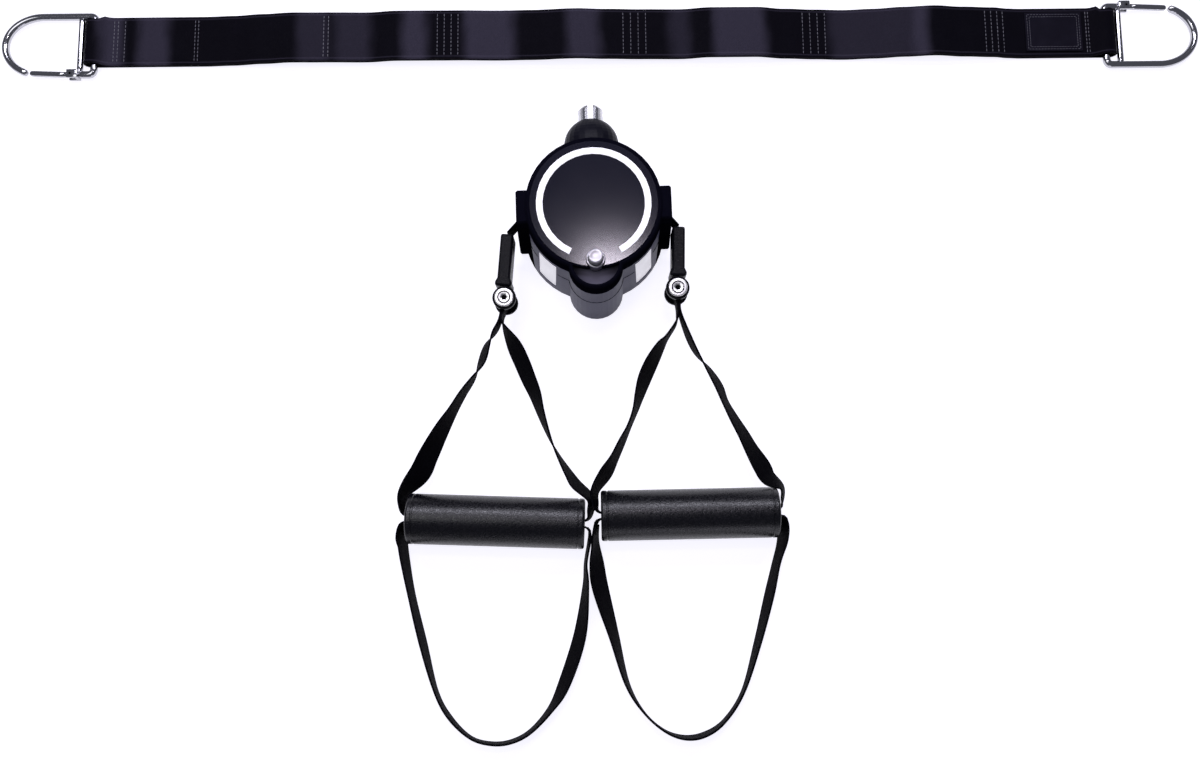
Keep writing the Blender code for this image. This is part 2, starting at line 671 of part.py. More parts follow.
def make_front_cover():
    bottom = DECK_TOP + CLEARANCE
    shoulder = HOUSING_HEIGHT - EDGE_CHAMFER
    cover = drum_solid("front_cover", (bottom, shoulder, HOUSING_HEIGHT),
                       chamfers={HOUSING_HEIGHT: EDGE_CHAMFER}, material=GLOSS_BLACK)
    join(cover, *ear_solids("front_ear", (bottom, EAR_TOP - EDGE_CHAMFER, EAR_TOP),
                            {EAR_TOP: EDGE_CHAMFER}))
    cut(cover, cylinder("cover_cavity", FACE_RADIUS - HOUSING_WALL, bottom - OVERCUT,
                        HOUSING_HEIGHT - ROOF_THICKNESS, count=40))
    cut(cover, cylinder("disc_pocket", DISC_RADIUS + CLEARANCE, HOUSING_HEIGHT - DISC_THICKNESS,
                        HOUSING_HEIGHT + OVERCUT, count=48))
    dish = cylinder("dish", DISH_RADIUS, HOUSING_HEIGHT - DISH_DEPTH, HOUSING_HEIGHT + OVERCUT,
                    0, -LOBE_FACE_CENTRE, count=32)
    cut(dish, cylinder("dish_limit", DISC_RADIUS + 4 * CLEARANCE, HOUSING_HEIGHT - 2 * DISH_DEPTH,
                       HOUSING_HEIGHT + 2 * OVERCUT, count=48))
    cut(cover, dish)
    cut(cover, collar_hole("cover_collar_hole"))
    return shade(cover)


def collar_hole(name):
    return cylinder(name, COLLAR_RADIUS + CLEARANCE, DECK_TOP - OVERCUT, COLLAR_TOP, 0, BUTTON_Y)


def make_face():
    bottom = HOUSING_HEIGHT - DISC_THICKNESS + CLEARANCE
    top = bottom + DISC_THICKNESS
    plate = cylinder("face_plate", DISC_RADIUS, bottom, top, material=GLOSS_BLACK, count=48)
    groove = top - RING_DEPTH - CLEARANCE
    inner = RING_OUTER_RADIUS - RING_WIDTH
    slack = 2 * CLEARANCE / RING_OUTER_RADIUS
    cut(plate, prism("ring_groove", c_band(RING_OUTER_RADIUS + CLEARANCE, inner - CLEARANCE,
                                           RING_GAP_ANGLE - slack), groove, top + OVERCUT))
    cut(plate, collar_hole("plate_collar_hole"))
    shade(plate)
    prism("ring_inlay", c_band(RING_OUTER_RADIUS, inner, RING_GAP_ANGLE), top - RING_DEPTH, top, WHITE)


def make_windows():
    low = WINDOW_BOTTOM + CLEARANCE
    high = WINDOW_TOP - CLEARANCE
    blocks = window_cutters("window_block", WINDOW_WIDTH - 2 * CLEARANCE, low, high)
    heights = (low - OVERCUT, high + OVERCUT)
    core = drum_solid("window_core", (low - 2 * OVERCUT, high + 2 * OVERCUT),
                      WINDOW_RECESS + WINDOW_THICKNESS)
    for word, limit in zip(("left", "right"), blocks):
        panel = drum_solid(f"side_window_{word}", heights, WINDOW_RECESS, material=WHITE)
        cut(panel, core)
        boolean(panel, limit, "INTERSECT")
        shade(panel)


def make_swivel():
    rim = math.acos((STUD_RADIUS + CLEARANCE) / NECK_RADIUS)
    dome = [(NECK_RADIUS * math.cos(rim * (1 - i / 8)), NECK_CENTRE + NECK_RADIUS * math.sin(rim * (1 - i / 8)))
            for i in range(9)]
    foot = BASE_RADIUS / 2
    counterbore = STUD_FLANGE_RADIUS + CLEARANCE
    bore = STUD_RADIUS + CLEARANCE
    neck = turned("swivel_neck", dome + [(NECK_RADIUS, foot), (counterbore, foot),
                                         (counterbore, NECK_SHOULDER), (bore, NECK_SHOULDER)], BLACK, 28)
    lay_along_y(neck, SWIVEL_HEIGHT)
    cut(neck, drum_solid("neck_seat", (-OVERCUT, HOUSING_HEIGHT + OVERCUT), -CLEARANCE))
    shade(neck)
    washer_top = NECK_SHOULDER - CLEARANCE
    flange_top = washer_top - WASHER_THICKNESS - CLEARANCE
    washer = turned("swivel_washer", ((STUD_FLANGE_RADIUS, washer_top),
                                      (STUD_FLANGE_RADIUS, washer_top - WASHER_THICKNESS),
                                      (bore, washer_top - WASHER_THICKNESS), (bore, washer_top)),
                    BRONZE, 24)
    shade(lay_along_y(washer, SWIVEL_HEIGHT))
    flange_bottom = flange_top - STUD_FLANGE_THICKNESS
    stud = turned("swivel_stud", ((0, STUD_END), (STUD_RADIUS - STUD_CHAMFER, STUD_END),
                                  (STUD_RADIUS, STUD_END - STUD_CHAMFER), (STUD_RADIUS, flange_top),
                                  (STUD_FLANGE_RADIUS, flange_top), (STUD_FLANGE_RADIUS, flange_bottom),
                                  (0, flange_bottom)), STEEL, 28)
    lay_along_y(stud, SWIVEL_HEIGHT)
    crown = NECK_CENTRE + NECK_RADIUS * math.sin(rim)
    slot_length = STUD_END - crown + OVERCUT
    cut(stud, block("stud_slot", (STUD_SLOT, slot_length, 3 * STUD_RADIUS),
                    (0, crown + slot_length / 2, SWIVEL_HEIGHT)))
    hole = cylinder("stud_pin_hole", STUD_PIN_HOLE_RADIUS, -2 * STUD_RADIUS, 2 * STUD_RADIUS, count=20)
    hole.rotation_euler.y = math.pi / 2
    hole.location = (0, (crown + STUD_END) / 2, SWIVEL_HEIGHT)
    cut(stud, hole)
    shade(stud)


def make_reel():
    low_flange = STRAP_HEIGHT - STRAP_WIDTH / 2 - 2 * CLEARANCE
    high_flange = STRAP_HEIGHT + STRAP_WIDTH / 2 + 2 * CLEARANCE
    reel_top = high_flange + REEL_FLANGE_THICKNESS + RATCHET_THICKNESS + 3 * CLEARANCE
    bore = AXLE_RADIUS + 2 * CLEARANCE + BUSH_WALL
    shade(cylinder("reel_axle", AXLE_RADIUS, AXLE_BOTTOM, AXLE_TOP, material=STEEL))
    hub = REEL_HUB_RADIUS
    reel = turned("reel", ((bore, reel_top), (RATCHET_SEAT_RADIUS, reel_top),
                           (RATCHET_SEAT_RADIUS, high_flange + REEL_FLANGE_THICKNESS),
                           (REEL_FLANGE_RADIUS, high_flange + REEL_FLANGE_THICKNESS),
                           (REEL_FLANGE_RADIUS, high_flange), (REEL_CORE_RADIUS, high_flange),
                           (REEL_CORE_RADIUS, low_flange), (REEL_FLANGE_RADIUS, low_flange),
                           (REEL_FLANGE_RADIUS, low_flange - REEL_FLANGE_THICKNESS),
                           (hub, low_flange - REEL_FLANGE_THICKNESS),
                           (hub, REEL_BOTTOM), (bore, REEL_BOTTOM)), BLACK)
    shade(reel)
    wound = WOUND_RADIUS
    core = REEL_CORE_RADIUS + CLEARANCE
    high = STRAP_HEIGHT + STRAP_WIDTH / 2
    low = STRAP_HEIGHT - STRAP_WIDTH / 2
    shade(turned("wound_webbing", ((core, high), (wound, high), (wound, low), (core, low)), WEBBING))
    step = 2 * math.pi / RATCHET_TEETH
    root = RATCHET_RADIUS - RATCHET_TOOTH_DEPTH
    teeth = [(radius * math.cos(i * step + lag), radius * math.sin(i * step + lag))
             for i in range(RATCHET_TEETH) for radius, lag in ((RATCHET_RADIUS, 0), (root, step / 8))]
    ratchet_low = high_flange + REEL_FLANGE_THICKNESS + CLEARANCE
    ratchet = prism("ratchet_wheel", teeth, ratchet_low, ratchet_low + RATCHET_THICKNESS, STEEL)
    cut(ratchet, cylinder("ratchet_bore", RATCHET_SEAT_RADIUS + CLEARANCE, ratchet_low - OVERCUT,
                          ratchet_low + RATCHET_THICKNESS + OVERCUT))
    make_bush("rear_bush", FLOOR_THICKNESS + CLEARANCE, REEL_BOTTOM - CLEARANCE, STRAP_HEIGHT / 2)
    make_bush("front_bush", DECK_TOP - DECK_THICKNESS - CLEARANCE, reel_top + CLEARANCE,
              STRAP_HEIGHT + STRAP_WIDTH / 4)
    return ratchet_low


def make_bush(name, flange_far, flange_near, sleeve_end):
    """Flanged bush on the axle; its flange keeps the reel off the housing."""
    bore = AXLE_RADIUS + CLEARANCE
    sleeve = bore + BUSH_WALL
    profile = [(bore, flange_far), (bore, sleeve_end), (sleeve, sleeve_end), (sleeve, flange_near),
               (REEL_HUB_RADIUS, flange_near), (REEL_HUB_RADIUS, flange_far)]
    shade(turned(name, profile, BRONZE, 20))


def make_recoil_spring():
    bottom = FLOOR_THICKNESS + CLEARANCE
    top = bottom + SPRING_CUP_HEIGHT
    floor = bottom + COVER_THICKNESS * 0.7
    hole = REEL_HUB_RADIUS + 2 * CLEARANCE
    inside = SPRING_CUP_RADIUS - SPRING_CUP_WALL
    shade(turned("spring_cup", ((inside, top), (SPRING_CUP_RADIUS, top), (SPRING_CUP_RADIUS, bottom),
                                (hole, bottom), (hole, floor), (inside, floor)), STEEL))
    cover_low = top + CLEARANCE
    shade(turned("spring_cover", ((hole, cover_low + COVER_THICKNESS),
                                  (SPRING_CUP_RADIUS, cover_low + COVER_THICKNESS),
                                  (SPRING_CUP_RADIUS, cover_low), (hole, cover_low)), STEEL))
    first = hole + SPRING_STRIP
    last = inside - CLEARANCE - SPRING_STRIP / 2
    width = top - floor - 3 * CLEARANCE
    middle = (top + floor) / 2
    count = SPRING_TURNS * 14
    route = []
    for i in range(count + 1):
        radius = first + (last - first) * i / count
        angle = 2 * math.pi * SPRING_TURNS * i / count
        route.append((radius * math.cos(angle), radius * math.sin(angle), middle, 0))
    webbing("recoil_spring", route, width, SPRING_STRIP, False, STEEL)


def make_button(ratchet_low):
    pawl_low = ratchet_low + CLEARANCE
    pawl_high = ratchet_low + RATCHET_THICKNESS - CLEARANCE
    tip = pawl_high + CLEARANCE
    flange_high = COLLAR_BOTTOM - CLEARANCE
    flange_low = flange_high - BUTTON_FLANGE_THICKNESS
    cone = BUTTON_STEM_RADIUS - STEM_TIP_RADIUS
    edge = BUTTON_RADIUS / 7
    button = turned("release_button", (
        (0, BUTTON_TOP), (BUTTON_RADIUS - edge, BUTTON_TOP), (BUTTON_RADIUS, BUTTON_TOP - edge),
        (BUTTON_RADIUS, flange_high), (BUTTON_FLANGE_RADIUS, flange_high),
        (BUTTON_FLANGE_RADIUS, flange_low), (BUTTON_STEM_RADIUS, flange_low),
        (BUTTON_STEM_RADIUS, tip + cone), (STEM_TIP_RADIUS, tip), (0, tip)), CHROME, 20)
    button.location.y = BUTTON_Y
    shade(button)
    bore = BUTTON_RADIUS + CLEARANCE
    collar = turned("button_collar", ((bore, COLLAR_TOP), (COLLAR_RADIUS - edge, COLLAR_TOP),
                                      (COLLAR_RADIUS, COLLAR_TOP - edge), (COLLAR_RADIUS, COLLAR_BOTTOM),
                                      (bore, COLLAR_BOTTOM)), CHROME, 24)
    collar.location.y = BUTTON_Y
    shade(collar)
    low = DECK_TOP + CLEARANCE + BUTTON_SPRING_WIRE
    high = flange_low - CLEARANCE - BUTTON_SPRING_WIRE
    coil_radius = (BUTTON_STEM_RADIUS + BUTTON_FLANGE_RADIUS) / 2
    count = BUTTON_SPRING_TURNS * 9
    coil = []
    for i in range(count + 1):
        angle = 2 * math.pi * BUTTON_SPRING_TURNS * i / count
        coil.append((coil_radius * math.cos(angle), BUTTON_Y + coil_radius * math.sin(angle),
                     low + (high - low) * i / count))
    shade(wire("button_spring", coil, BUTTON_SPRING_WIRE, STEEL, resolution=1))
    pawl = prism("pawl", PAWL_OUTLINE, pawl_low, pawl_high, STEEL)
    cut(pawl, cylinder("pawl_bore", PAWL_PIN_RADIUS + CLEARANCE, pawl_low - OVERCUT,
                       pawl_high + OVERCUT, *PAWL_PIVOT, count=16))
    shade(cylinder("pawl_pin", PAWL_PIN_RADIUS, ratchet_low, PAWL_PIN_TOP, *PAWL_PIVOT, STEEL, 16))


def make_case_screws():
    top = SCREW_HEAD_SINK + SCREW_LENGTH
    shoulder = SCREW_HEAD_SINK + SCREW_HEAD_HEIGHT
    for name, x, y in screw_places():
        screw = turned(f"case_screw_{name}", (
            (0, top), (SCREW_RADIUS, top), (SCREW_RADIUS, shoulder), (SCREW_HEAD_RADIUS, shoulder),
            (SCREW_HEAD_RADIUS, SCREW_HEAD_SINK), (0, SCREW_HEAD_SINK)), STEEL, 10)
        screw.location = (x, y, 0)
        shade(screw)


def make_strap_exit(word, side):
    """Webbing inside the housing, its roller and pin, and the short tail outside."""
    route = [(x, y, STRAP_HEIGHT, 0) for x, y in lead_plan(side)]
    webbing(f"strap_lead_{word}", route, STRAP_WIDTH, STRAP_THICKNESS, False, WEBBING)
    low = STRAP_HEIGHT - STRAP_WIDTH / 2
    high = STRAP_HEIGHT + STRAP_WIDTH / 2
    roller = turned(f"guide_roller_{word}", (
        (ROLLER_PIN_RADIUS + CLEARANCE, high), (ROLLER_RADIUS, high), (ROLLER_RADIUS, low),
        (ROLLER_PIN_RADIUS + CLEARANCE, low)), STEEL, 20)
    roller.location = (side * ROLLER_X, ROLLER_Y, 0)
    shade(roller)
    shade(cylinder(f"roller_pin_{word}", ROLLER_PIN_RADIUS, low - SLOT_CLEARANCE - ROLLER_PIN_GRIP,
                   SEAM_HEIGHT + CLEARANCE + ROLLER_PIN_GRIP, side * ROLLER_X, ROLLER_Y, STEEL, 12))
    mouth = Vector(lead_plan(side, 2 * CLEARANCE)[-1])
    top, end = (Vector(point) for point in SIDES[word]["sleeve"])
    axis = (end - top).normalized()
    across = Vector((-axis.y, axis.x))
    ahead = top - axis * (STRAP_THICKNESS / 2 + 2 * CLEARANCE)
    bend = (mouth * 0.25 + ahead * 0.75)
    tail = [(*mouth, STRAP_HEIGHT, 0), (*bend, STRAP_HEIGHT, 0), (*ahead, STRAP_HEIGHT, 0)]
    webbing(f"strap_tail_{word}", tail, STRAP_WIDTH, STRAP_THICKNESS, False, WEBBING)
    half = SLEEVE_THICKNESS / 2
    flare = SLEEVE_FLARE / 2
    outline = [top - across * half, top + across * half,
               end - axis * flare + across * half, end - axis * flare / 2 + across * flare,
               end + across * flare, end - across * flare,
               end - axis * flare / 2 - across * flare, end - axis * flare - across * half]
    sleeve = prism(f"strap_sleeve_{word}", [tuple(point) for point in outline],
                   STRAP_HEIGHT - SLEEVE_HEIGHT / 2, STRAP_HEIGHT + SLEEVE_HEIGHT / 2, RUBBER)
    round_edges(sleeve, SLEEVE_THICKNESS / 6)
    shade(sleeve)


def make_link(word):
    """Shackle at the strap's end: two plates and a web, with a bolt that the handle swings on."""
    x, y = SIDES[word]["bolt"]
    inside = HANDLE_WEBBING_WIDTH / 2 + CLEARANCE
    reach = inside + LINK_PLATE
    shackle = cylinder(f"link_shackle_{word}", LINK_RADIUS, STRAP_HEIGHT - reach, STRAP_HEIGHT + reach,
                       x, y, BLACK, 24)
    eye = LINK_BOLT_RADIUS + HANDLE_WEBBING_THICKNESS + 4 * CLEARANCE
    room = 2 * LINK_RADIUS
    cut(shackle, block(f"link_room_{word}", (room + OVERCUT, room, 2 * inside),
                       (x, y + eye - room / 2, STRAP_HEIGHT)))
    cut(shackle, cylinder(f"link_bore_{word}", LINK_BOLT_RADIUS + CLEARANCE,
                          STRAP_HEIGHT - reach - OVERCUT, STRAP_HEIGHT + reach + OVERCUT, x, y))
    shade(shackle)
    seat = STRAP_HEIGHT + reach + CLEARANCE
    head = seat + LINK_HEAD_HEIGHT
    edge = LINK_HEAD_HEIGHT / 4
    end = STRAP_HEIGHT - reach + CLEARANCE
    bolt = turned(f"link_bolt_{word}", (
        (0, head), (LINK_HEAD_RADIUS - edge, head), (LINK_HEAD_RADIUS, head - edge),
        (LINK_HEAD_RADIUS, seat), (LINK_BOLT_RADIUS, seat), (LINK_BOLT_RADIUS, end), (0, end)),
        CHROME, 24)
    bolt.location = (x, y, 0)
    cut(bolt, cylinder(f"link_socket_{word}", LINK_SOCKET_RADIUS, head - LINK_SOCKET_DEPTH,
                       head + OVERCUT, x, y, count=6))
    shade(bolt)


def grip_point(word, along, across):
    """Place in plan from a grip's own axis: along it and square to it."""
    side = SIDES[word]
    x, y = side["grip"]
    c, s = math.cos(side["grip_turn"]), math.sin(side["grip_turn"])
    return (x + along * c - across * s, y + along * s + across * c)


def make_handle(word):
    side = SIDES[word]
    half = GRIP_LENGTH / 2
    grip_end = half + 3 * HANDLE_WEBBING_THICKNESS - CLEARANCE
    near = WEBBING_OFFSET
    inside = [(-half * 0.96, near), (-half * 0.84, near), (half * 0.84, near), (half * 0.96, near)]
    bend = [(half + 2 * HANDLE_WEBBING_THICKNESS - CLEARANCE, GRIP_RADIUS / 5),
            (grip_end, GRIP_RADIUS / 2)]
    corner = [(grip_end, GRIP_RADIUS)]
    through = [(-a, b) for a, b in reversed(bend + corner)] + inside + bend + corner
    lean = BEND_LEAN
    leaning = [lean, lean * 0.7, lean * 0.2]
    leans = leaning + [0.0] * 4 + [-angle for angle in reversed(leaning)]
    tube_run = [(*grip_point(word, a, b), GRIP_HEIGHT, angle) for (a, b), angle in zip(through, leans)]
    eye_radius = LINK_BOLT_RADIUS + 2 * CLEARANCE + HANDLE_WEBBING_THICKNESS / 2
    pinch = HANDLE_WEBBING_THICKNESS / 2 + CLEARANCE
    bolt = Vector(side["bolt"])
    down = Vector(side["apex"]) - bolt
    across = Vector((-down.y, down.x)).normalized() * pinch
    neck = [bolt + down * share for share in (1.0, 0.55)]
    east = [(*(place_of + across), STRAP_HEIGHT, 0) for place_of in neck]
    west = [(*(place_of - across), STRAP_HEIGHT, 0) for place_of in reversed(neck)]
    turn = math.atan2(down.x, -down.y)
    eye = [(x, y, STRAP_HEIGHT, 0) for x, y in arc(bolt, eye_radius, math.radians(-45) + turn,
                                                   math.radians(225) + turn, 7)]
    keys = eye + west + list(side["strand_west"]) + tube_run + list(side["strand_east"]) + east
    webbing(f"handle_webbing_{word}", catmull(keys, True, 3), HANDLE_WEBBING_WIDTH,
            HANDLE_WEBBING_THICKNESS, True, WEBBING)
    loop_inside = [(-a, -b) for a, b in inside]
    loop_bend = [(a, -b) for a, b in bend]
    lean = side["loop_lean_start"]
    leans = [0.0] * 4 + [lean * 0.3, lean]
    start = [(*grip_point(word, a, b), GRIP_HEIGHT, angle)
             for (a, b), angle in zip(loop_inside + [(-a, b) for a, b in loop_bend], leans)]
    lean = side["loop_lean_end"]
    finish = [(*grip_point(word, a, b), GRIP_HEIGHT, angle)
              for (a, b), angle in zip(reversed(loop_bend), (lean, lean * 0.3))]
    loop = catmull(start + list(side["loop"]) + finish, True, 3)
    webbing(f"foot_loop_{word}", loop, HANDLE_WEBBING_WIDTH, HANDLE_WEBBING_THICKNESS, True, WEBBING)
    edge = GRIP_ROUNDING
    grip = turned(f"grip_{word}", (
        (TUBE_RADIUS + CLEARANCE, half), (GRIP_RADIUS - edge, half), (GRIP_RADIUS - edge * 0.3, half - edge * 0.3),
        (GRIP_RADIUS, half - edge), (GRIP_RADIUS, edge - half), (GRIP_RADIUS - edge * 0.3, edge * 0.3 - half),
        (GRIP_RADIUS - edge, -half), (TUBE_RADIUS + CLEARANCE, -half)), RUBBER, 28)
    tube = turned(f"grip_tube_{word}", ((TUBE_BORE_RADIUS, half), (TUBE_RADIUS, half),
                                        (TUBE_RADIUS, -half), (TUBE_BORE_RADIUS, -half)), BLACK, 24)
    for item in (grip, tube):
        item.rotation_euler = (0, math.pi / 2, side["grip_turn"])
        item.location = (*side["grip"], GRIP_HEIGHT)
        shade(item)


def anchor_lift(x):
    """Height that the webbing stands off the ground at one place along it."""
    share = x / ANCHOR_HALF_LENGTH
    for (a, low), (b, high) in zip(LIFTS, LIFTS[1:]):
        if a < share <= b:
            return low + (high - low) * (0.5 - 0.5 * math.cos(math.pi * (share - a) / (b - a)))
    return 0.0


def layer_faces(x):
    """Heights of the lower and upper layers' inner faces at one place along the strap."""
    low = ANCHOR_REST + ANCHOR_LAYER + anchor_lift(x)
    high = low + ANCHOR_LAYER_GAP
    share = min((ANCHOR_HALF_LENGTH - abs(x)) / END_TAPER, 1.0)
    ease = 0.5 + 0.5 * math.cos(math.pi * share)
    return low, high + ease * (BAR_HEIGHT + BAR_LOOP_RADIUS - high)


def strap_stations(start, end):
    count = max(2, round((end - start) / ANCHOR_STEP))
    return [start + (end - start) * i / count for i in range(count + 1)]


def make_anchor_webbing(frame):
    left, right = -ANCHOR_HALF_LENGTH, ANCHOR_HALF_LENGTH
    ends = [left] + [edge for place_of, length in TACKS
                     for edge in (place_of - length / 2, place_of + length / 2)] + [right]
    stations = [x for start, end in zip(ends, ends[1:]) for x in strap_stations(start, end)[:-1]]
    stations.append(right)
    outer = BAR_LOOP_RADIUS + ANCHOR_LAYER
    quarter = math.pi / 2
    top = [(x, layer_faces(x)[1] + ANCHOR_LAYER) for x in stations]
    bottom = [(x, layer_faces(x)[0] - ANCHOR_LAYER) for x in reversed(stations)]
    left_eye = (left - EYE_SLACK, BAR_HEIGHT)
    right_eye = (right + EYE_SLACK, BAR_HEIGHT)
    outline = (arc(left_eye, outer, 3 * quarter, quarter, 10) + top
               + arc(right_eye, outer, quarter, -quarter, 10) + bottom)
    band = prism("anchor_webbing", outline, -ANCHOR_WIDTH / 2, ANCHOR_WIDTH / 2, WEBBING)
    hollows = []
    for number, (start, end) in enumerate(zip(ends[::2], ends[1::2])):
        run = strap_stations(start, end)
        hollow = [(x, layer_faces(x)[0]) for x in run] + [(x, layer_faces(x)[1]) for x in reversed(run)]
        if start == left:
            hollow += arc(left_eye, BAR_LOOP_RADIUS, quarter, 3 * quarter, 10)
        if end == right:
            middle = len(run)
            hollow[middle:middle] = arc(right_eye, BAR_LOOP_RADIUS, -quarter, quarter, 10)
        hollows.append(prism(f"layer_gap_{number}", hollow, -ANCHOR_WIDTH, ANCHOR_WIDTH))
    wire_edge = CARABINER_SHIFT + CARABINER_HALF_WIDTH - WIRE_RADIUS - CLEARANCE
    trim_size = (EYE_TRIM + 4 * outer, ANCHOR_WIDTH, 4 * outer)
    trims = [block(f"eye_trim_{number}", trim_size,
                   (side * (ANCHOR_HALF_LENGTH - EYE_TRIM + trim_size[0] / 2), wire_edge + ANCHOR_WIDTH / 2,
                    BAR_HEIGHT)) for number, side in enumerate((-1, 1))]
    for item in [band] + hollows:
        item.rotation_euler.x = quarter
    for item in [band] + hollows + trims:
        item.parent = frame
    cut(band, *hollows, *trims)
    label_low = layer_faces(LABEL_PLACE)[1] + ANCHOR_LAYER + CLEARANCE
    label = block("anchor_label", (LABEL_LENGTH, LABEL_WIDTH, LABEL_THICKNESS),
                  (LABEL_PLACE, 0, label_low + LABEL_THICKNESS / 2), material=BLACK)
    label.parent = frame


def make_carabiner(word, frame):
    """Bent wire frame with a cross bar that traps the webbing, and a hinged gate."""
    side = -1 if word == "left" else 1
    holder = bpy.data.objects.new(f"carabiner_{word}_frame", None)
    PARTS.objects.link(holder)
    holder.parent = frame
    holder.location = (side * ANCHOR_HALF_LENGTH, CARABINER_SHIFT, BAR_HEIGHT)
    holder.rotation_euler.z = 0.0 if side == -1 else math.pi
    half = CARABINER_HALF_WIDTH
    corner = CARABINER_CORNER
    nose_angle = math.pi + math.acos((GATE_TIP - CURVE_START) / (CARABINER_LENGTH - CURVE_START))
    curve = [(-CURVE_START + (CARABINER_LENGTH - CURVE_START) * math.cos(angle), half * math.sin(angle))
             for angle in [nose_angle + (math.pi / 2 - nose_angle) * i / 18 for i in range(19)]]
    hinge_end = GATE_HINGE - HINGE_BLOCK_LENGTH / 2
    path = (curve + [(-CURVE_START / 2, half)] + arc((-corner, half - corner), corner, math.pi / 2, 0, 5)
            + arc((-corner, corner - half), corner, 0, -math.pi / 2, 5) + [(-hinge_end, -half)])
    body = wire(f"carabiner_{word}", [(x, y, 0) for x, y in path], WIRE_RADIUS, CHROME)
    cross = wire(f"cross_bar_{word}", [(-CROSS_BAR_OFFSET, -half, 0), (-CROSS_BAR_OFFSET, half, 0)],
                 WIRE_RADIUS * 0.85)
    knuckle = block(f"hinge_block_{word}", (HINGE_BLOCK_LENGTH, HINGE_BLOCK_WIDTH, HINGE_BLOCK_HEIGHT),
                    (CLEARANCE - GATE_HINGE + HINGE_BLOCK_LENGTH / 8, -half, 0))
    slot_reach = HINGE_BLOCK_LENGTH
    slot = block(f"hinge_slot_{word}", (slot_reach, 2 * HINGE_BLOCK_WIDTH, TONGUE_THICKNESS + 2 * CLEARANCE),
                 (-GATE_HINGE + TONGUE_RADIUS + 2 * CLEARANCE - slot_reach / 2, -half, 0))
    pin_hole = cylinder(f"gate_pin_hole_{word}", GATE_PIN_RADIUS + CLEARANCE, -HINGE_BLOCK_HEIGHT,
                        HINGE_BLOCK_HEIGHT, -GATE_HINGE, -half, count=12)
    join(body, cross, knuckle)
    cut(body, slot, pin_hole)
    nose = curve[0]
    slope = math.atan2(nose[1] + half, GATE_TIP - GATE_HINGE)
    gate_length = GATE_TIP - GATE_HINGE - WIRE_RADIUS / 2
    rod_start = TONGUE_RADIUS + GATE_RADIUS
    gate = wire(f"gate_{word}", [(-rod_start, 0, 0), (-gate_length, 0, 0)], GATE_RADIUS, CHROME)
    tongue = cylinder(f"gate_tongue_{word}", TONGUE_RADIUS, -TONGUE_THICKNESS / 2, TONGUE_THICKNESS / 2)
    neck = block(f"gate_neck_{word}", (rod_start + GATE_RADIUS, 1.6 * GATE_RADIUS, TONGUE_THICKNESS),
                 (-(rod_start + GATE_RADIUS) / 2, 0, 0))
    bore = cylinder(f"gate_bore_{word}", GATE_PIN_RADIUS + CLEARANCE, -HINGE_BLOCK_HEIGHT,
                    HINGE_BLOCK_HEIGHT, count=12)
    for item in (gate, tongue, neck, bore):
        item.rotation_euler.z = -slope
        item.location = (-GATE_HINGE, -half, 0)
    join(gate, tongue, neck)
    cut(gate, bore)
    pin = cylinder(f"gate_pin_{word}", GATE_PIN_RADIUS, -HINGE_BLOCK_HEIGHT / 2, HINGE_BLOCK_HEIGHT / 2,
                   material=STEEL, count=12)
    pin.location = (-GATE_HINGE, -half, 0)
    for item in (body, cross, knuckle, slot, pin_hole, gate, tongue, neck, bore, pin):
        item.parent = holder
    for item in (body, gate, pin):
        shade(item)


empty_scene()
PARTS = new_collection("training_strap")
CUTTERS = new_collection("cutters")
BLACK = make_material("satin_black", (0.035, 0.035, 0.045), 0.5)
GLOSS_BLACK = make_material("gloss_black", (0.02, 0.02, 0.03), 0.25)
WHITE = make_material("white_trim", (0.85, 0.85, 0.88), 0.4)
STEEL = make_material("steel", (0.6, 0.6, 0.62), 0.35, 1.0)
CHROME = make_material("polished_steel", (0.8, 0.8, 0.82), 0.12, 1.0)
BRONZE = make_material("bronze", (0.5, 0.33, 0.16), 0.4, 1.0)
RUBBER = make_material("rubber", (0.03, 0.03, 0.035), 0.65)
WEBBING = make_material("webbing", (0.015, 0.015, 0.02), 0.8)

make_rear_shell()
make_middle_shell()
make_front_cover()
make_face()
make_windows()
make_swivel()
make_button(make_reel())
make_recoil_spring()
make_case_screws()
for side_word, side_sign in (("left", -1), ("right", 1)):
    make_strap_exit(side_word, side_sign)
    make_link(side_word)
    make_handle(side_word)
anchor = bpy.data.objects.new("anchor_frame", None)
PARTS.objects.link(anchor)
anchor.location = (*ANCHOR_CENTRE, 0)
anchor.rotation_euler.z = ANCHOR_TURN
make_anchor_webbing(anchor)
for side_word in ("left", "right"):
    make_carabiner(side_word, anchor)
bpy.context.view_layer.update()
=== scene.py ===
"""Looks of the training strap: materials, webbing, stitching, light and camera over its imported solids."""
import bisect
from math import acos, atan2, cos, exp, hypot, pi, radians, remainder, sin, sqrt

import bmesh
import bpy
from mathutils import Matrix, Vector, noise


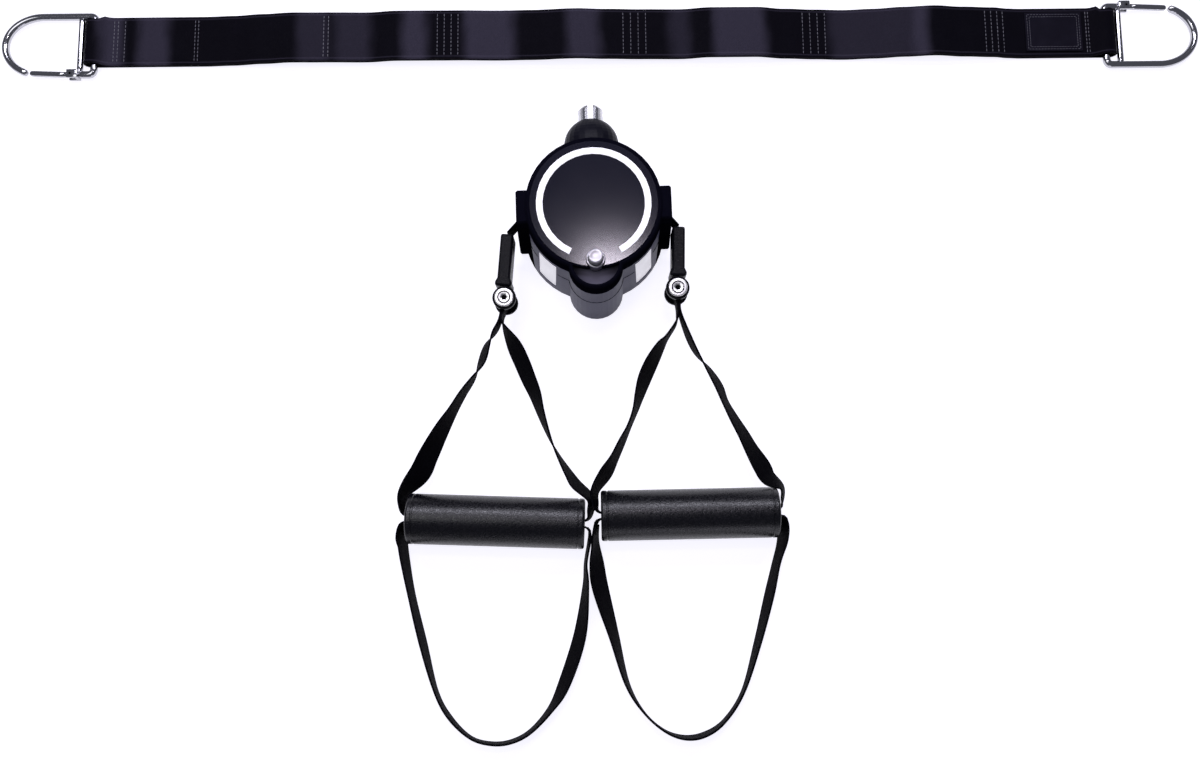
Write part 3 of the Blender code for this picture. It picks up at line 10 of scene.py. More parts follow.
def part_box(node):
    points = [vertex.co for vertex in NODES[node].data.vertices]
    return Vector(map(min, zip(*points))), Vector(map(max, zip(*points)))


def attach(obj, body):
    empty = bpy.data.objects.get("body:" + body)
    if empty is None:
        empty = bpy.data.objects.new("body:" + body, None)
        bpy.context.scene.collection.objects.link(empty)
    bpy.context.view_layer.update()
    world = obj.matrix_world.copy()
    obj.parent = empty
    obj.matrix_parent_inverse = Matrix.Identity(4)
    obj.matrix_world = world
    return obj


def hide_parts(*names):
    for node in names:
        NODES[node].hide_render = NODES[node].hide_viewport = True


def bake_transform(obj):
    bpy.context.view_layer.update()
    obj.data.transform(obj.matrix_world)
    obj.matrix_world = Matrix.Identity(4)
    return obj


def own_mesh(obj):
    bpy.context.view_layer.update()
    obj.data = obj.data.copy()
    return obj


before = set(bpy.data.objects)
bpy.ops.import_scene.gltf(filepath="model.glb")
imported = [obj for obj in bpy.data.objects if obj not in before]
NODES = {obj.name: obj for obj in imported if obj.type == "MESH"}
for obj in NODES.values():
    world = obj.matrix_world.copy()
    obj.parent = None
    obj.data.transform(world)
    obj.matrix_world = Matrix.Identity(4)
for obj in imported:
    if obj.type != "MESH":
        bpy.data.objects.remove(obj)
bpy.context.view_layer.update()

# Sizes in metres, most of them the solids' own
WIRE_RADIUS = 0.00275
STRAP_WIDTH = 0.018
STRAP_THICKNESS = 0.0014
STRAP_HEIGHT = 0.030
HANDLE_WIDTH = 0.016
HANDLE_THICKNESS = 0.0014
WOUND_RADIUS = 0.0375
ROLLER_X = 0.0475
ROLLER_Y = 0.0035
ROLLER_LINE = 0.0040
REEL_LINE = 0.0385
MOUTH_REACH = 0.05477
MOUTH_ANGLE = radians(55)
GRIP_RADIUS = 0.0178
GRIP_LENGTH = 0.125
GRIP_HEIGHT = 0.018
GRIP_BORE = 0.0115
EYE_RADIUS = 0.0043
PINCH = 0.0010

SEAM_HEIGHT = 0.04215
HOUSING_HEIGHT = 0.076
BUTTON_Y = -0.0395
BUTTON_RADIUS = 0.0049
BUTTON_TOP = 0.0870
BUTTON_GROOVE = (0.0814, 0.0822)
BUTTON_GROOVE_DEPTH = 0.00025
BUTTON_FLANGE_RADIUS = 0.0058
BUTTON_FLANGE = (0.0688, 0.0702)
BUTTON_STEM_RADIUS = 0.0025
COLLAR_RADIUS = 0.0064
COLLAR_BOTTOM = 0.0705
COLLAR_TOP = 0.0800
LINK_HEAD_RADIUS = 0.0067
LINK_HEAD_HEIGHT = 0.0024
LINK_RING = (LINK_HEAD_RADIUS - 0.0030, LINK_HEAD_RADIUS - 0.0021)
LINK_RING_DEPTH = 0.0007
LINK_BOLT_RADIUS = 0.0030
SOCKET_RADIUS = 0.0023
SOCKET_DEPTH = 0.0015
CARABINER_LENGTH = 0.0685
CARABINER_HALF_WIDTH = 0.0234
CARABINER_CORNER = 0.0036
CROSS_BAR_OFFSET = 0.0107
CURVE_START = 0.0400
GATE_HINGE = 0.0165
GATE_TIP = 0.0500
GATE_RADIUS = 0.0023
CARABINER_SHIFT = -0.0037
EYE_SLACK = 0.0030
TRIM_START = 0.0060
TRIM_RUN = 0.0022
BEND_LEAN = 20.0
BEND_OVERHANG = 0.0039
TUBE_SPREAD = 0.0016
TONGUE_THICKNESS = 0.0026
TONGUE_RADIUS = 0.0024
TONGUE_BORE = 0.0012
HINGE_BLOCK = (0.0085, 0.0066, 0.0074)
CLEARANCE = 0.0003
ROLL_CORE_RADIUS = 0.0160
WIND_GAP = 0.00006
GRIP_RIM = 0.0018
GRIP_GROOVE = (0.0052, 0.0038)
GRIP_GROOVE_DEPTH = 0.0004

# The case's wall, at its base and at its face
CASE_RADIUS = (0.052, 0.0468)
LOBE_RADIUS = (0.0198, 0.0186)
LOBE_CENTRE = (0.0462, 0.0404)
BLOCK_REACH = (0.0558, 0.0532)
BLOCK_WIDTH = (0.029, 0.023)
BLOCK_BEVEL = 0.0012
# Distance along X beyond which the ear blocks are painted black as shade
SHADED_BLOCK_START = 0.0448
DISH_RADIUS = 0.0162
DISH_FLOOR = 0.0680
DISH_TOP = HOUSING_HEIGHT - 0.0045
WINDOW_ANGLE = radians(45)
WINDOW_SPREAD = radians(11.5)
SEAM_WIDTH = 0.00075
SEAM_THICKNESS = 0.0009
SEAM_INSET = 0.0003

ANCHOR_CENTRE = Vector((0.0099, 0.1538, 0.0))
ANCHOR_TURN = radians(-1.4)
ANCHOR_HALF_LENGTH = 0.3869
ANCHOR_WIDTH = 0.039
ANCHOR_LAYER = 0.0015
ANCHOR_GAP = 0.0007
ANCHOR_REST = 0.0003
BAR_LOOP_RADIUS = 0.00335
BAR_HEIGHT = 0.00515
# How far the webbing stands off the ground, by share of its half length
LIFTS = (
    (-1.000, 0.0), (-0.786, 0.0), (-0.727, 0.0012), (-0.668, 0.0037), (-0.609, 0.0058),
    (-0.550, 0.0054), (-0.461, 0.0046), (-0.402, 0.0069), (-0.284, 0.0066), (-0.196, 0.0055),
    (-0.137, 0.0060), (-0.048, 0.0081), (0.011, 0.0066), (0.080, 0.0054), (0.158, 0.0048),
    (0.217, 0.0076), (0.306, 0.0075), (0.365, 0.0040), (0.424, 0.0022), (0.483, 0.0009),
    (0.542, 0.0025), (0.601, 0.0052), (0.660, 0.0071), (0.719, 0.0045), (0.778, 0.0030),
    (0.811, 0.0008), (0.832, 0.0), (1.000, 0.0),
)
END_TAPER = 0.0120
LABEL_PLACE = 0.3479
LABEL_LENGTH = 0.043
LABEL_WIDTH = 0.031
# Sewn places along the anchor strap, and their lengths
TACKS = ((-0.3650, 0.006), (-0.3100, 0.008), (-0.2093, 0.010), (-0.1163, 0.024),
         (0.0260, 0.026), (0.1636, 0.026), (0.3020, 0.022))
TACK_MARGIN = 0.003
END_ROWS = (0.0135 - ANCHOR_HALF_LENGTH, 0.0165 - ANCHOR_HALF_LENGTH,
            ANCHOR_HALF_LENGTH - 0.0135, ANCHOR_HALF_LENGTH - 0.0115)
ROW_REACH = 0.0168
ROW_STITCHES = 11
PATCH_INSETS = (0.0016, 0.0034)

SIDES = {
    "left": {
        "sign": -1, "loop_leans": (18.0, 6.0),
        "sleeve_top": (-0.0622, -0.0092), "sleeve_end": (-0.0661, -0.0470),
        "bolt": (-0.0654, -0.0558), "apex": (-0.0690, -0.0712),
        "grip": (-0.0765, -0.2120), "grip_turn": radians(-3.7),
        "strand_west": (
            (-0.0742, -0.0786, 0.0287, 0), (-0.0796, -0.0877, 0.0277, -21),
            (-0.0838, -0.0990, 0.0266, -24), (-0.0900, -0.1102, 0.0255, 0), (-0.0981, -0.1213, 0.0244, 9),
            (-0.1051, -0.1324, 0.0234, 15), (-0.1122, -0.1435, 0.0223, 29), (-0.1186, -0.1546, 0.0212, 42),
            (-0.1246, -0.1657, 0.0202, 55), (-0.1300, -0.1762, 0.0192, 62)),
        "strand_east": (
            (-0.0193, -0.1880, 0.0183, -26), (-0.0241, -0.1805, 0.0191, -19),
            (-0.0304, -0.1690, 0.0202, -7), (-0.0357, -0.1575, 0.0212, 3), (-0.0398, -0.1460, 0.0223, 12),
            (-0.0433, -0.1346, 0.0234, 21), (-0.0464, -0.1231, 0.0244, 32), (-0.0508, -0.1116, 0.0255, 40),
            (-0.0551, -0.1000, 0.0266, 43), (-0.0602, -0.0880, 0.0277, 38)),
        "loop": (
            (-0.1440, -0.2245, 0.0125, 14), (-0.1430, -0.2380, 0.0090, 12), (-0.1387, -0.2626, 0.0084, 7),
            (-0.1310, -0.2961, 0.0084, 8), (-0.1223, -0.3294, 0.0084, -2), (-0.1129, -0.3472, 0.0084, -3),
            (-0.0991, -0.3609, 0.0084, -7), (-0.0853, -0.3656, 0.0084, -5), (-0.0713, -0.3651, 0.0084, -2),
            (-0.0572, -0.3587, 0.0084, 2), (-0.0428, -0.3443, 0.0086, 10), (-0.0323, -0.3271, 0.0081, 29),
            (-0.0203, -0.2946, 0.0079, 32), (-0.0150, -0.2613, 0.0090, 15), (-0.0143, -0.2440, 0.0087, 6)),
    },
    "right": {
        "sign": 1, "loop_leans": (12.0, 18.0),
        "sleeve_top": (0.0602, -0.0080), "sleeve_end": (0.0584, -0.0440),
        "bolt": (0.0575, -0.0529), "apex": (0.0583, -0.0702),
        "grip": (0.0602, -0.2117), "grip_turn": radians(-0.8),
        "strand_west": (
            (0.0556, -0.0768, 0.0293, 3), (0.0488, -0.0865, 0.0282, 7), (0.0444, -0.0921, 0.0277, 21),
            (0.0377, -0.1033, 0.0266, 34), (0.0323, -0.1145, 0.0255, 35), (0.0283, -0.1257, 0.0244, 25),
            (0.0248, -0.1369, 0.0234, 13), (0.0200, -0.1481, 0.0223, 9), (0.0143, -0.1592, 0.0212, 16),
            (0.0085, -0.1704, 0.0202, 21), (0.0020, -0.1810, 0.0191, 33)),
        "strand_east": (
            (0.1178, -0.1880, 0.0187, -50), (0.1131, -0.1797, 0.0196, -57), (0.1066, -0.1681, 0.0207, -44),
            (0.1010, -0.1566, 0.0218, -36), (0.0947, -0.1450, 0.0228, -29), (0.0891, -0.1335, 0.0239, -23),
            (0.0849, -0.1220, 0.0250, -27), (0.0784, -0.1104, 0.0260, -19), (0.0704, -0.0987, 0.0271, 0),
            (0.0650, -0.0871, 0.0282, 5)),
        "loop": (
            (-0.0073, -0.2310, 0.0105, 18), (-0.0066, -0.2450, 0.0071, 38), (-0.0046, -0.2618, 0.0067, 44),
            (0.0039, -0.2954, 0.0080, 24), (0.0121, -0.3286, 0.0084, 8), (0.0230, -0.3483, 0.0084, -3),
            (0.0365, -0.3610, 0.0084, -5), (0.0502, -0.3663, 0.0084, -2), (0.0643, -0.3650, 0.0084, -1),
            (0.0787, -0.3564, 0.0084, -4), (0.0930, -0.3369, 0.0084, -3), (0.1049, -0.3044, 0.0084, 7),
            (0.1151, -0.2714, 0.0083, 14), (0.1213, -0.2495, 0.0084, 10), (0.1258, -0.2355, 0.0092, 14)),
    },
}


def put(name, data):
    item = bpy.data.objects.new(name, data)
    bpy.context.scene.collection.objects.link(item)
    return item


def set_camera():
    """The camera, at the photograph's viewing angle."""
    data = bpy.data.cameras.new("camera")
    data.sensor_width = 36
    data.lens = 31.08
    data.clip_start = 0.01
    camera = put("camera", data)
    camera.location = (-0.00308, -0.21132, 0.7584)
    camera.rotation_euler = (radians(7.51), 0, radians(-2))
    bpy.context.scene.camera = camera


def add_node(tree, kind, settings=None, **inputs):
    """Add a node: its settings first, then its sockets' values or links, by number or by name."""
    node = tree.nodes.new(kind)
    for word, value in (settings or {}).items():
        setattr(node, word, value)
    for word, value in inputs.items():
        slot = node.inputs[int(word[1:])] if word[0] == "_" else node.inputs[word.replace("_", " ")]
        if isinstance(value, Socket):
            tree.links.new(value.output, slot)
        else:
            slot.default_value = value
    return node


class Socket:
    """One value in a material's nodes; arithmetic on it adds Math nodes."""

    def __init__(self, tree, output):
        self.tree = tree
        self.output = output

    def math(self, operation, *values):
        inputs = {f"_{i}": value for i, value in enumerate(values)}
        node = add_node(self.tree, "ShaderNodeMath", {"operation": operation}, **inputs)
        return Socket(self.tree, node.outputs[0])

    def __add__(self, other):
        return self.math("ADD", self, other)

    def __sub__(self, other):
        return self.math("SUBTRACT", self, other)

    def __rsub__(self, other):
        return self.math("SUBTRACT", other, self)

    def __mul__(self, other):
        return self.math("MULTIPLY", self, other)

    def __pow__(self, other):
        return self.math("POWER", self, other)

    def __rpow__(self, other):
        return self.math("POWER", other, self)

    __radd__ = __add__
    __rmul__ = __mul__

    def most(self, other):
        return self.math("MAXIMUM", self, other)

    def sine(self):
        return self.math("SINE", self)

    def sign(self):
        return self.math("SIGN", self)

    def size(self):
        return self.math("ABSOLUTE", self)


class Finish:
    """A Principled material, and the nodes that vary it over the surface."""

    def __init__(self, name, colour, roughness, metallic=0.0, **constants):
        self.material = bpy.data.materials.new(name)
        self.material.use_nodes = True
        self.tree = self.material.node_tree
        self.shader = self.tree.nodes["Principled BSDF"]
        self.material.diffuse_color = (*colour, 1.0)
        constants.update(base_color=(*colour, 1.0), roughness=roughness, metallic=metallic)
        for word, value in constants.items():
            title = word.replace("_", " ").title().replace("Ior", "IOR")
            self.shader.inputs[title].default_value = value

    def node(self, kind, settings=None, **inputs):
        return add_node(self.tree, kind, settings, **inputs)

    def out(self, node, name=0):
        return Socket(self.tree, node.outputs[name])

    def show(self, node):
        """Make this shader the one that the surface shows."""
        self.tree.links.new(node.outputs[0], self.tree.nodes["Material Output"].inputs["Surface"])

    def place(self):
        return self.out(self.node("ShaderNodeTexCoord"), "Object")

    def split(self, vector):
        parts = self.node("ShaderNodeSeparateXYZ", None, Vector=vector)
        return [self.out(parts, axis) for axis in "XYZ"]

    def noise(self, where, scale, detail=3.0, rough=0.55):
        return self.out(self.node("ShaderNodeTexNoise", None, Vector=where, Scale=scale, Detail=detail,
                                  Roughness=rough))

    def ramp(self, value, low, high, first=0.0, last=1.0):
        """A value eased from first to last as it goes from low to high."""
        return self.out(self.node("ShaderNodeMapRange", {"interpolation_type": "SMOOTHSTEP"}, _0=value,
                                  _1=low, _2=high, _3=first, _4=last))

    def blend(self, share, *colours):
        """From the first colour to the second, each a socket or plain numbers."""
        a, b = (colour if isinstance(colour, Socket) else (*colour, 1.0) for colour in colours)
        return self.out(self.node("ShaderNodeMix", {"data_type": "RGBA"}, _0=share, _6=a, _7=b), 2)

    def drive(self, **inputs):
        for word, value in inputs.items():
            self.tree.links.new(value.output, self.shader.inputs[word.replace("_", " ")])

    def bump(self, height, distance, strength=1.0):
        node = self.node("ShaderNodeBump", None, Height=height, Distance=distance, Strength=strength)
        self.drive(Normal=self.out(node))


def dimmed(colour, share):
    return tuple(value * share for value in colour)


def moulded_plastic(name, colour, light, roughness, grain, gloss, patchy=1.0, painted_shade_from=None, dish=None):
    """Finely grained black plastic rubbed in patches; if asked, painted shade on blocks, painted reflection
    in a dish.
    """
    finish = Finish(name, colour, roughness, specular_ior_level=gloss)
    where = finish.place()
    clouds = finish.noise(where, 55.0, 5.0)
    rubbed = finish.ramp(finish.noise(where, 210.0, 4.0, 0.6), 0.56, 0.74)
    fine = finish.noise(where, 2600.0, 2.0, 0.5)
    tone = finish.ramp(clouds, 0.35, 0.7) * (0.55 * patchy) + finish.ramp(fine, 0.3, 0.7) * 0.35
    shade = finish.blend(tone, colour, light)
    # Painted reflection: a pale patch on the dish round the button, brightest in the middle and fading to
    # the sides.
    if dish:
        x, y, z = finish.split(where)
        below = y + LOBE_CENTRE[1]
        reach = (x * x + below * below) ** 0.5
        level = finish.ramp(z, DISH_TOP, DISH_TOP - 0.0015) * finish.ramp(z, DISH_FLOOR - 0.002, DISH_FLOOR)
        inside = finish.ramp(reach, DISH_RADIUS, DISH_RADIUS - 0.0004) * level
        shade = finish.blend(inside * finish.ramp(x.size(), 0.0150, 0.0020, 0.25, 1.0), shade, dish)
    # Painted shade: past this distance along X the ear blocks turn an unreflecting black, where the walls'
    # painted light ends.
    if painted_shade_from:
        end = finish.ramp(finish.split(where)[0].size(), painted_shade_from, painted_shade_from + 0.0004)
        black = finish.node("ShaderNodeBsdfPrincipled", None, Base_Color=(0.003, 0.003, 0.005, 1.0),
                            Roughness=0.4, Specular_IOR_Level=0.0)
        finish.show(finish.node("ShaderNodeMixShader", None, _0=end, _1=finish.out(finish.shader),
                                _2=finish.out(black)))
    rough = finish.ramp(clouds, 0.3, 0.75, roughness - 0.06 * patchy, roughness + 0.08 * patchy)
    finish.drive(Base_Color=shade, Roughness=rough - rubbed * (0.05 * patchy))
    finish.bump(fine * grain + clouds * (0.25 * patchy), 0.00012)
    return finish.material


def turned_metal(name, colour, roughness):
    """Turned and polished metal: an even face with a very fine grain."""
    finish = Finish(name, colour, roughness, 1.0)
    where = finish.place()
    fine = finish.noise(where, 2400.0, 2.0, 0.5)
    soft = finish.noise(where, 240.0, 2.0, 0.5)
    shade = finish.blend(finish.ramp(soft, 0.35, 0.75) * 0.25, colour, dimmed(colour, 0.85))
    finish.drive(Base_Color=shade, Roughness=finish.ramp(fine, 0.3, 0.7, roughness * 0.92, roughness * 1.08))
    finish.bump(fine, 0.000004, 0.4)
    return finish.material


def polished_metal(name, colour, roughness, brushed=0.0, axis="Z"):
    """Plated or machined metal, with fine lines along one axis and a few dull patches."""
    finish = Finish(name, colour, roughness, 1.0)
    where = finish.place()
    scale = {"Y": (40.0, 1.0, 40.0), "Z": (40.0, 40.0, 1.0)}[axis]
    lines = finish.node("ShaderNodeMapping", None, Vector=where, Scale=scale)
    streaks = finish.noise(finish.out(lines), 26.0, 2.0, 0.5)
    clouds = finish.noise(where, 160.0, 4.0, 0.6)
    dull = finish.ramp(clouds, 0.55, 0.8)
    tone = dull * 0.5 + finish.ramp(streaks, 0.2, 0.8) * brushed
    rough = finish.ramp(streaks, 0.3, 0.7, roughness * 0.75, roughness * 1.3) + dull * 0.06
    finish.drive(Base_Color=finish.blend(tone, colour, dimmed(colour, 0.72)), Roughness=rough)
    finish.bump(streaks, 0.00001, 0.05 + brushed * 0.3)
    return finish.material


def woven(name, dark, light, along=0.0011, across=0.0009, sheen=0.0, roughness=0.62, gloss=0.25, painted_sheen=None,
          bands=()):
    """Webbing: warp and weft from the strip's own UV in metres, with painted sheen in bands where asked."""
    finish = Finish(name, dark, roughness, sheen_weight=sheen, sheen_roughness=0.35,
                    specular_ior_level=gloss)
    where = finish.place()
    u, v = finish.split(finish.out(finish.node("ShaderNodeUVMap", {"uv_map": "strip"})))[:2]
    warp = (v * (2 * pi / across)).sine()
    step = (v * (pi / across)).sine().sign()
    weft = (u * (2 * pi / along) + step * (pi / 2)).sine()
    weave = warp.size() * 0.55 + (weft * 0.5 + 0.5) * 0.45
    fuzz = finish.noise(where, 3200.0, 2.0, 0.6)
    clouds = finish.noise(where, 60.0, 4.0, 0.6)
    tone = weave * 0.45 + finish.ramp(clouds, 0.35, 0.75) * 0.35 + finish.ramp(fuzz, 0.45, 0.8) * 0.25
    shade = finish.blend(tone, dark, light)
    # Painted sheen: lighter bands along the strap, and lighter strips just inside its edges, blended into
    # its colour.
    if painted_sheen:
        stretched = finish.node("ShaderNodeCombineXYZ", None, X=u * 60.0, Y=v * 30.0, Z=tone * 0.3)
        wander = finish.noise(finish.out(stretched), 1.0, 2.0, 0.5)
        x = finish.split(where)[0] + (wander - 0.5) * 0.010
        patch = 0.0
        for first, last, level in bands:
            rise = min(0.006, (last - first) * 0.4)
            rising = finish.ramp(x, first - rise, first + rise)
            patch = patch + rising * finish.ramp(x, last + rise, last - rise) * level
        half = ANCHOR_WIDTH / 2
        edge = (v - half).size()
        rim = finish.ramp(edge, half - 0.003, half - 0.0022) * finish.ramp(edge, half - 0.0014, half - 0.002)
        patch = patch * (finish.ramp(fuzz, 0.3, 0.7) * 0.45 + 0.55) + rim * 0.35 + 0.05
        shade = finish.blend(patch, shade, painted_sheen)
    finish.drive(Base_Color=shade, Roughness=finish.ramp(weave, 0, 1, roughness + 0.12, roughness - 0.08))
    finish.bump(weave + fuzz * 0.4, 0.00022, 0.8)
    return finish.material


def grippy_rubber(name, colour, light, roughness, gloss):
    """Foamed rubber: small pores, a grainy sheen and rubbed high spots."""
    finish = Finish(name, colour, roughness, specular_ior_level=gloss)
    where = finish.place()
    pores = finish.node("ShaderNodeTexVoronoi", {"feature": "F1"}, Vector=where, Scale=900.0)
    pits = finish.ramp(finish.out(pores, "Distance"), 0.1, 0.55)
    grain = finish.noise(where, 800.0, 4.0, 0.65)
    clouds = finish.noise(where, 70.0, 4.0)
    tone = pits * 0.3 + finish.ramp(grain, 0.4, 0.75) * 0.4 + finish.ramp(clouds, 0.35, 0.75) * 0.3
    rough = finish.ramp(grain, 0.3, 0.7, roughness - 0.12, roughness + 0.14)
    finish.drive(Base_Color=finish.blend(tone, colour, light), Roughness=rough)
    finish.bump(pits * 0.5 + grain, 0.00012, 0.8)
    return finish.material


def white_plastic(name, colour):
    """White plastic with a painted glow: a little emission lifts it to white."""
    finish = Finish(name, colour, 0.38, emission_color=(0.95, 0.93, 1.0, 1.0), emission_strength=0.45)
    where = finish.place()
    clouds = finish.noise(where, 90.0, 4.0)
    fine = finish.noise(where, 2200.0, 2.0)
    finish.drive(Base_Color=finish.blend(finish.ramp(clouds, 0.4, 0.8) * 0.6, colour, dimmed(colour, 0.9)),
                 Roughness=finish.ramp(clouds, 0.3, 0.7, 0.32, 0.46))
    finish.bump(fine, 0.00005, 0.5)
    return finish.material


class Route:
    """A smooth line through keys of x, y, height and lean, measured in metres along it."""

    def __init__(self, keys, closed=False, wide=None, smooth=True):
        points = self.through(keys, closed) if smooth else [tuple(key) for key in keys]
        if closed:
            points.append(points[0])
        self.points = [Vector(point[:3]) for point in points]
        self.leans = [point[3] if len(point) > 3 else 0.0 for point in points]
        self.closed = closed
        self.wide = wide
        self.marks = [0.0]
        for a, b in zip(self.points, self.points[1:]):
            self.marks.append(self.marks[-1] + (b - a).length)
        self.length = self.marks[-1]

    @staticmethod
    def through(keys, closed, steps=10):
        """Points on the curve through the keys, with some steps from each key to the next."""
        count = len(keys)
        route = []
        for i in range(count if closed else count - 1):
            four = [keys[(i + k - 1) % count] if closed else keys[min(max(i + k - 1, 0), count - 1)]
                    for k in range(4)]
            for s in range(steps):
                t = s / steps
                route.append(tuple(0.5 * (2 * b + (c - a) * t + (2 * a - 5 * b + 4 * c - d) * t * t
                                          + (3 * b - a - 3 * c + d) * t ** 3)
                                   for a, b, c, d in zip(*four)))
        if not closed:
            route.append(tuple(float(value) for value in keys[-1]))
        return route

    def at(self, mark):
        mark = mark % self.length if self.closed else min(max(mark, 0.0), self.length)
        i = min(max(bisect.bisect_right(self.marks, mark) - 1, 0), len(self.marks) - 2)
        share = (mark - self.marks[i]) / max(self.marks[i + 1] - self.marks[i], 1e-9)
        return (self.points[i].lerp(self.points[i + 1], share),
                self.leans[i] + (self.leans[i + 1] - self.leans[i]) * share)

    def frame(self, mark):
        """Place, direction of the width and direction of the thickness."""
        reach = 0.0012
        place, lean = self.at(mark)
        run = (self.at(mark + reach)[0] - self.at(mark - reach)[0]).normalized()
        if self.wide:
            wide = (self.wide - run * self.wide.dot(run)).normalized()
        else:
            upright = (Vector((0, 0, 1)) - run * run.z).normalized()
            angle = radians(lean)
            wide = upright * cos(angle) + run.cross(upright) * sin(angle)
        return place, wide, run.cross(wide)


def finished(name, bm, material, smooth=True):
    mesh = bpy.data.meshes.new(name)
    bm.to_mesh(mesh)
    bm.free()
    mesh.materials.append(material)
    if smooth:
        mesh.shade_smooth()
        mesh.set_sharp_from_angle(angle=radians(40))
    return put(name, mesh)


def strip(name, route, width, thickness, material, step=0.0016, across=10, crown=0.0):
    """Webbing cut flat, given its thickness and soft edges, then laid along its route."""
    bm = bmesh.new()
    count = max(8, round(route.length / step))
    bmesh.ops.create_grid(bm, x_segments=count, y_segments=across, size=0.5)
    bmesh.ops.scale(bm, vec=(route.length, width, 1.0), verts=bm.verts)
    layer = bm.loops.layers.uv.new("strip")
    for face in bm.faces:
        for loop in face.loops:
            loop[layer].uv = (loop.vert.co.x + route.length / 2, loop.vert.co.y + width / 2)
    bmesh.ops.solidify(bm, geom=bm.faces[:], thickness=thickness)
    middle = sum(v.co.z for v in bm.verts) / len(bm.verts)
    bmesh.ops.translate(bm, vec=(0, 0, -middle), verts=bm.verts)
    half = route.length / 2
    if route.closed:
        ends = [face for face in bm.faces if all(abs(abs(v.co.x) - half) < 1e-6 for v in face.verts)]
        bmesh.ops.delete(bm, geom=ends, context="FACES")
    edges = [edge for edge in bm.edges
             if all(abs(abs(v.co.y) - width / 2) < 1e-6 for v in edge.verts)
             and abs(edge.verts[0].co.x - edge.verts[1].co.x) > 1e-6]
    bmesh.ops.bevel(bm, geom=edges, offset=thickness * 0.32, segments=2, profile=0.5, affect="EDGES",
                    material=-1)
    for vert in bm.verts:
        along, side, depth = vert.co
        place, wide, thin = route.frame(along + half)
        selvedge = 1.0 - 0.16 * exp(-((abs(side) - width * 0.40) / (width * 0.035)) ** 2)
        ripple = 1.0 + crown * noise.noise(Vector((along * 90.0, side * 60.0, 7.0)))
        vert.co = place + wide * side + thin * depth * selvedge * ripple
    if route.closed:
        bmesh.ops.remove_doubles(bm, verts=bm.verts, dist=0.00002)
    bmesh.ops.recalc_face_normals(bm, faces=bm.faces)
    return finished(name, bm, material)


def spun(name, profile, material, steps, turn=None):
    """A turned piece: its profile of radius and height is spun round Z and then set in place."""
    bm = bmesh.new()
    verts = [bm.verts.new((radius, 0, height)) for radius, height in profile]
    edges = [bm.edges.new((verts[i], verts[(i + 1) % len(verts)])) for i in range(len(verts))]
    bmesh.ops.spin(bm, geom=verts + edges, cent=(0, 0, 0), axis=(0, 0, 1), angle=2 * pi, steps=steps,
                   use_merge=True)
    bmesh.ops.remove_doubles(bm, verts=bm.verts, dist=0.00001)
    bmesh.ops.recalc_face_normals(bm, faces=bm.faces)
    if turn:
        bmesh.ops.transform(bm, matrix=turn, verts=bm.verts)
    return finished(name, bm, material)


def rod(name, route, radius, material, step, sides=24):
    """A round bar: a flat grid rolled round its route, with domed ends."""
    bm = bmesh.new()
    count = max(6, round(route.length / step))
    bmesh.ops.create_grid(bm, x_segments=count, y_segments=sides, size=0.5)
    ends = [0.0, radius * 0.04, radius * 0.15, radius * 0.35, radius * 0.65]
    for vert in bm.verts:
        column = round((vert.co.x + 0.5) * count)
        mark = route.length * column / count
        reach = min(column, count - column)
        if reach < len(ends):
            mark = ends[reach] if column < count / 2 else route.length - ends[reach]
        near = min(mark, route.length - mark, radius)
        size = radius * sqrt(max(1 - (1 - near / radius) ** 2, 0.0))
        place, wide, thin = route.frame(mark)
        angle = 2 * pi * round((vert.co.y + 0.5) * sides) / sides
        vert.co = place + (wide * cos(angle) + thin * sin(angle)) * size
    bmesh.ops.remove_doubles(bm, verts=bm.verts, dist=0.000004)
    bmesh.ops.recalc_face_normals(bm, faces=bm.faces)
    return finished(name, bm, material)


def prism(name, outline, low, high, material, edge, matrix):
    """An outline in X and Z given its width along Y, with all its edges eased."""
    bm = bmesh.new()
    face = bm.faces.new([bm.verts.new((x, low, z)) for x, z in outline])
    grown = bmesh.ops.extrude_face_region(bm, geom=[face])["geom"]
    raised = [v for v in grown if isinstance(v, bmesh.types.BMVert)]
    bmesh.ops.translate(bm, vec=(0, high - low, 0), verts=raised)
    bmesh.ops.bevel(bm, geom=bm.edges[:], offset=edge, segments=3, profile=0.5, affect="EDGES", material=-1)
    bmesh.ops.recalc_face_normals(bm, faces=bm.faces)
    bmesh.ops.transform(bm, matrix=matrix, verts=bm.verts)
    return finished(name, bm, material)


def stitches(name, places, material, length=0.0024, width=0.00062, height=0.00026):
    """A row of sewing: one small rounded thread at each place, turned to its direction."""
    one = bmesh.new()
    bmesh.ops.create_uvsphere(one, u_segments=8, v_segments=6, radius=1.0)
    thread = bpy.data.meshes.new("one_thread")
    one.to_mesh(thread)
    one.free()
    scale = Matrix.Diagonal((length / 2, width / 2, height, 1.0))
    bm = bmesh.new()
    for place, direction, up in places:
        side = up.cross(direction).normalized()
        turn = Matrix((direction, side, up)).transposed().to_4x4()
        copy = thread.copy()
        copy.transform(Matrix.Translation(place) @ turn @ scale)
        bm.from_mesh(copy)
        bpy.data.meshes.remove(copy)
    bpy.data.meshes.remove(thread)
    return finished(name, bm, material)


def arc(centre, radius, start, end, count):
    return [(centre[0] + radius * cos(start + (end - start) * i / count),
             centre[1] + radius * sin(start + (end - start) * i / count))
            for i in range(count + 1)]


# Handles and foot loops
def grip_point(side, along, across):
    x, y = side["grip"]
    c, s = cos(side["grip_turn"]), sin(side["grip_turn"])
    return (x + along * c - across * s, y + along * s + across * c)


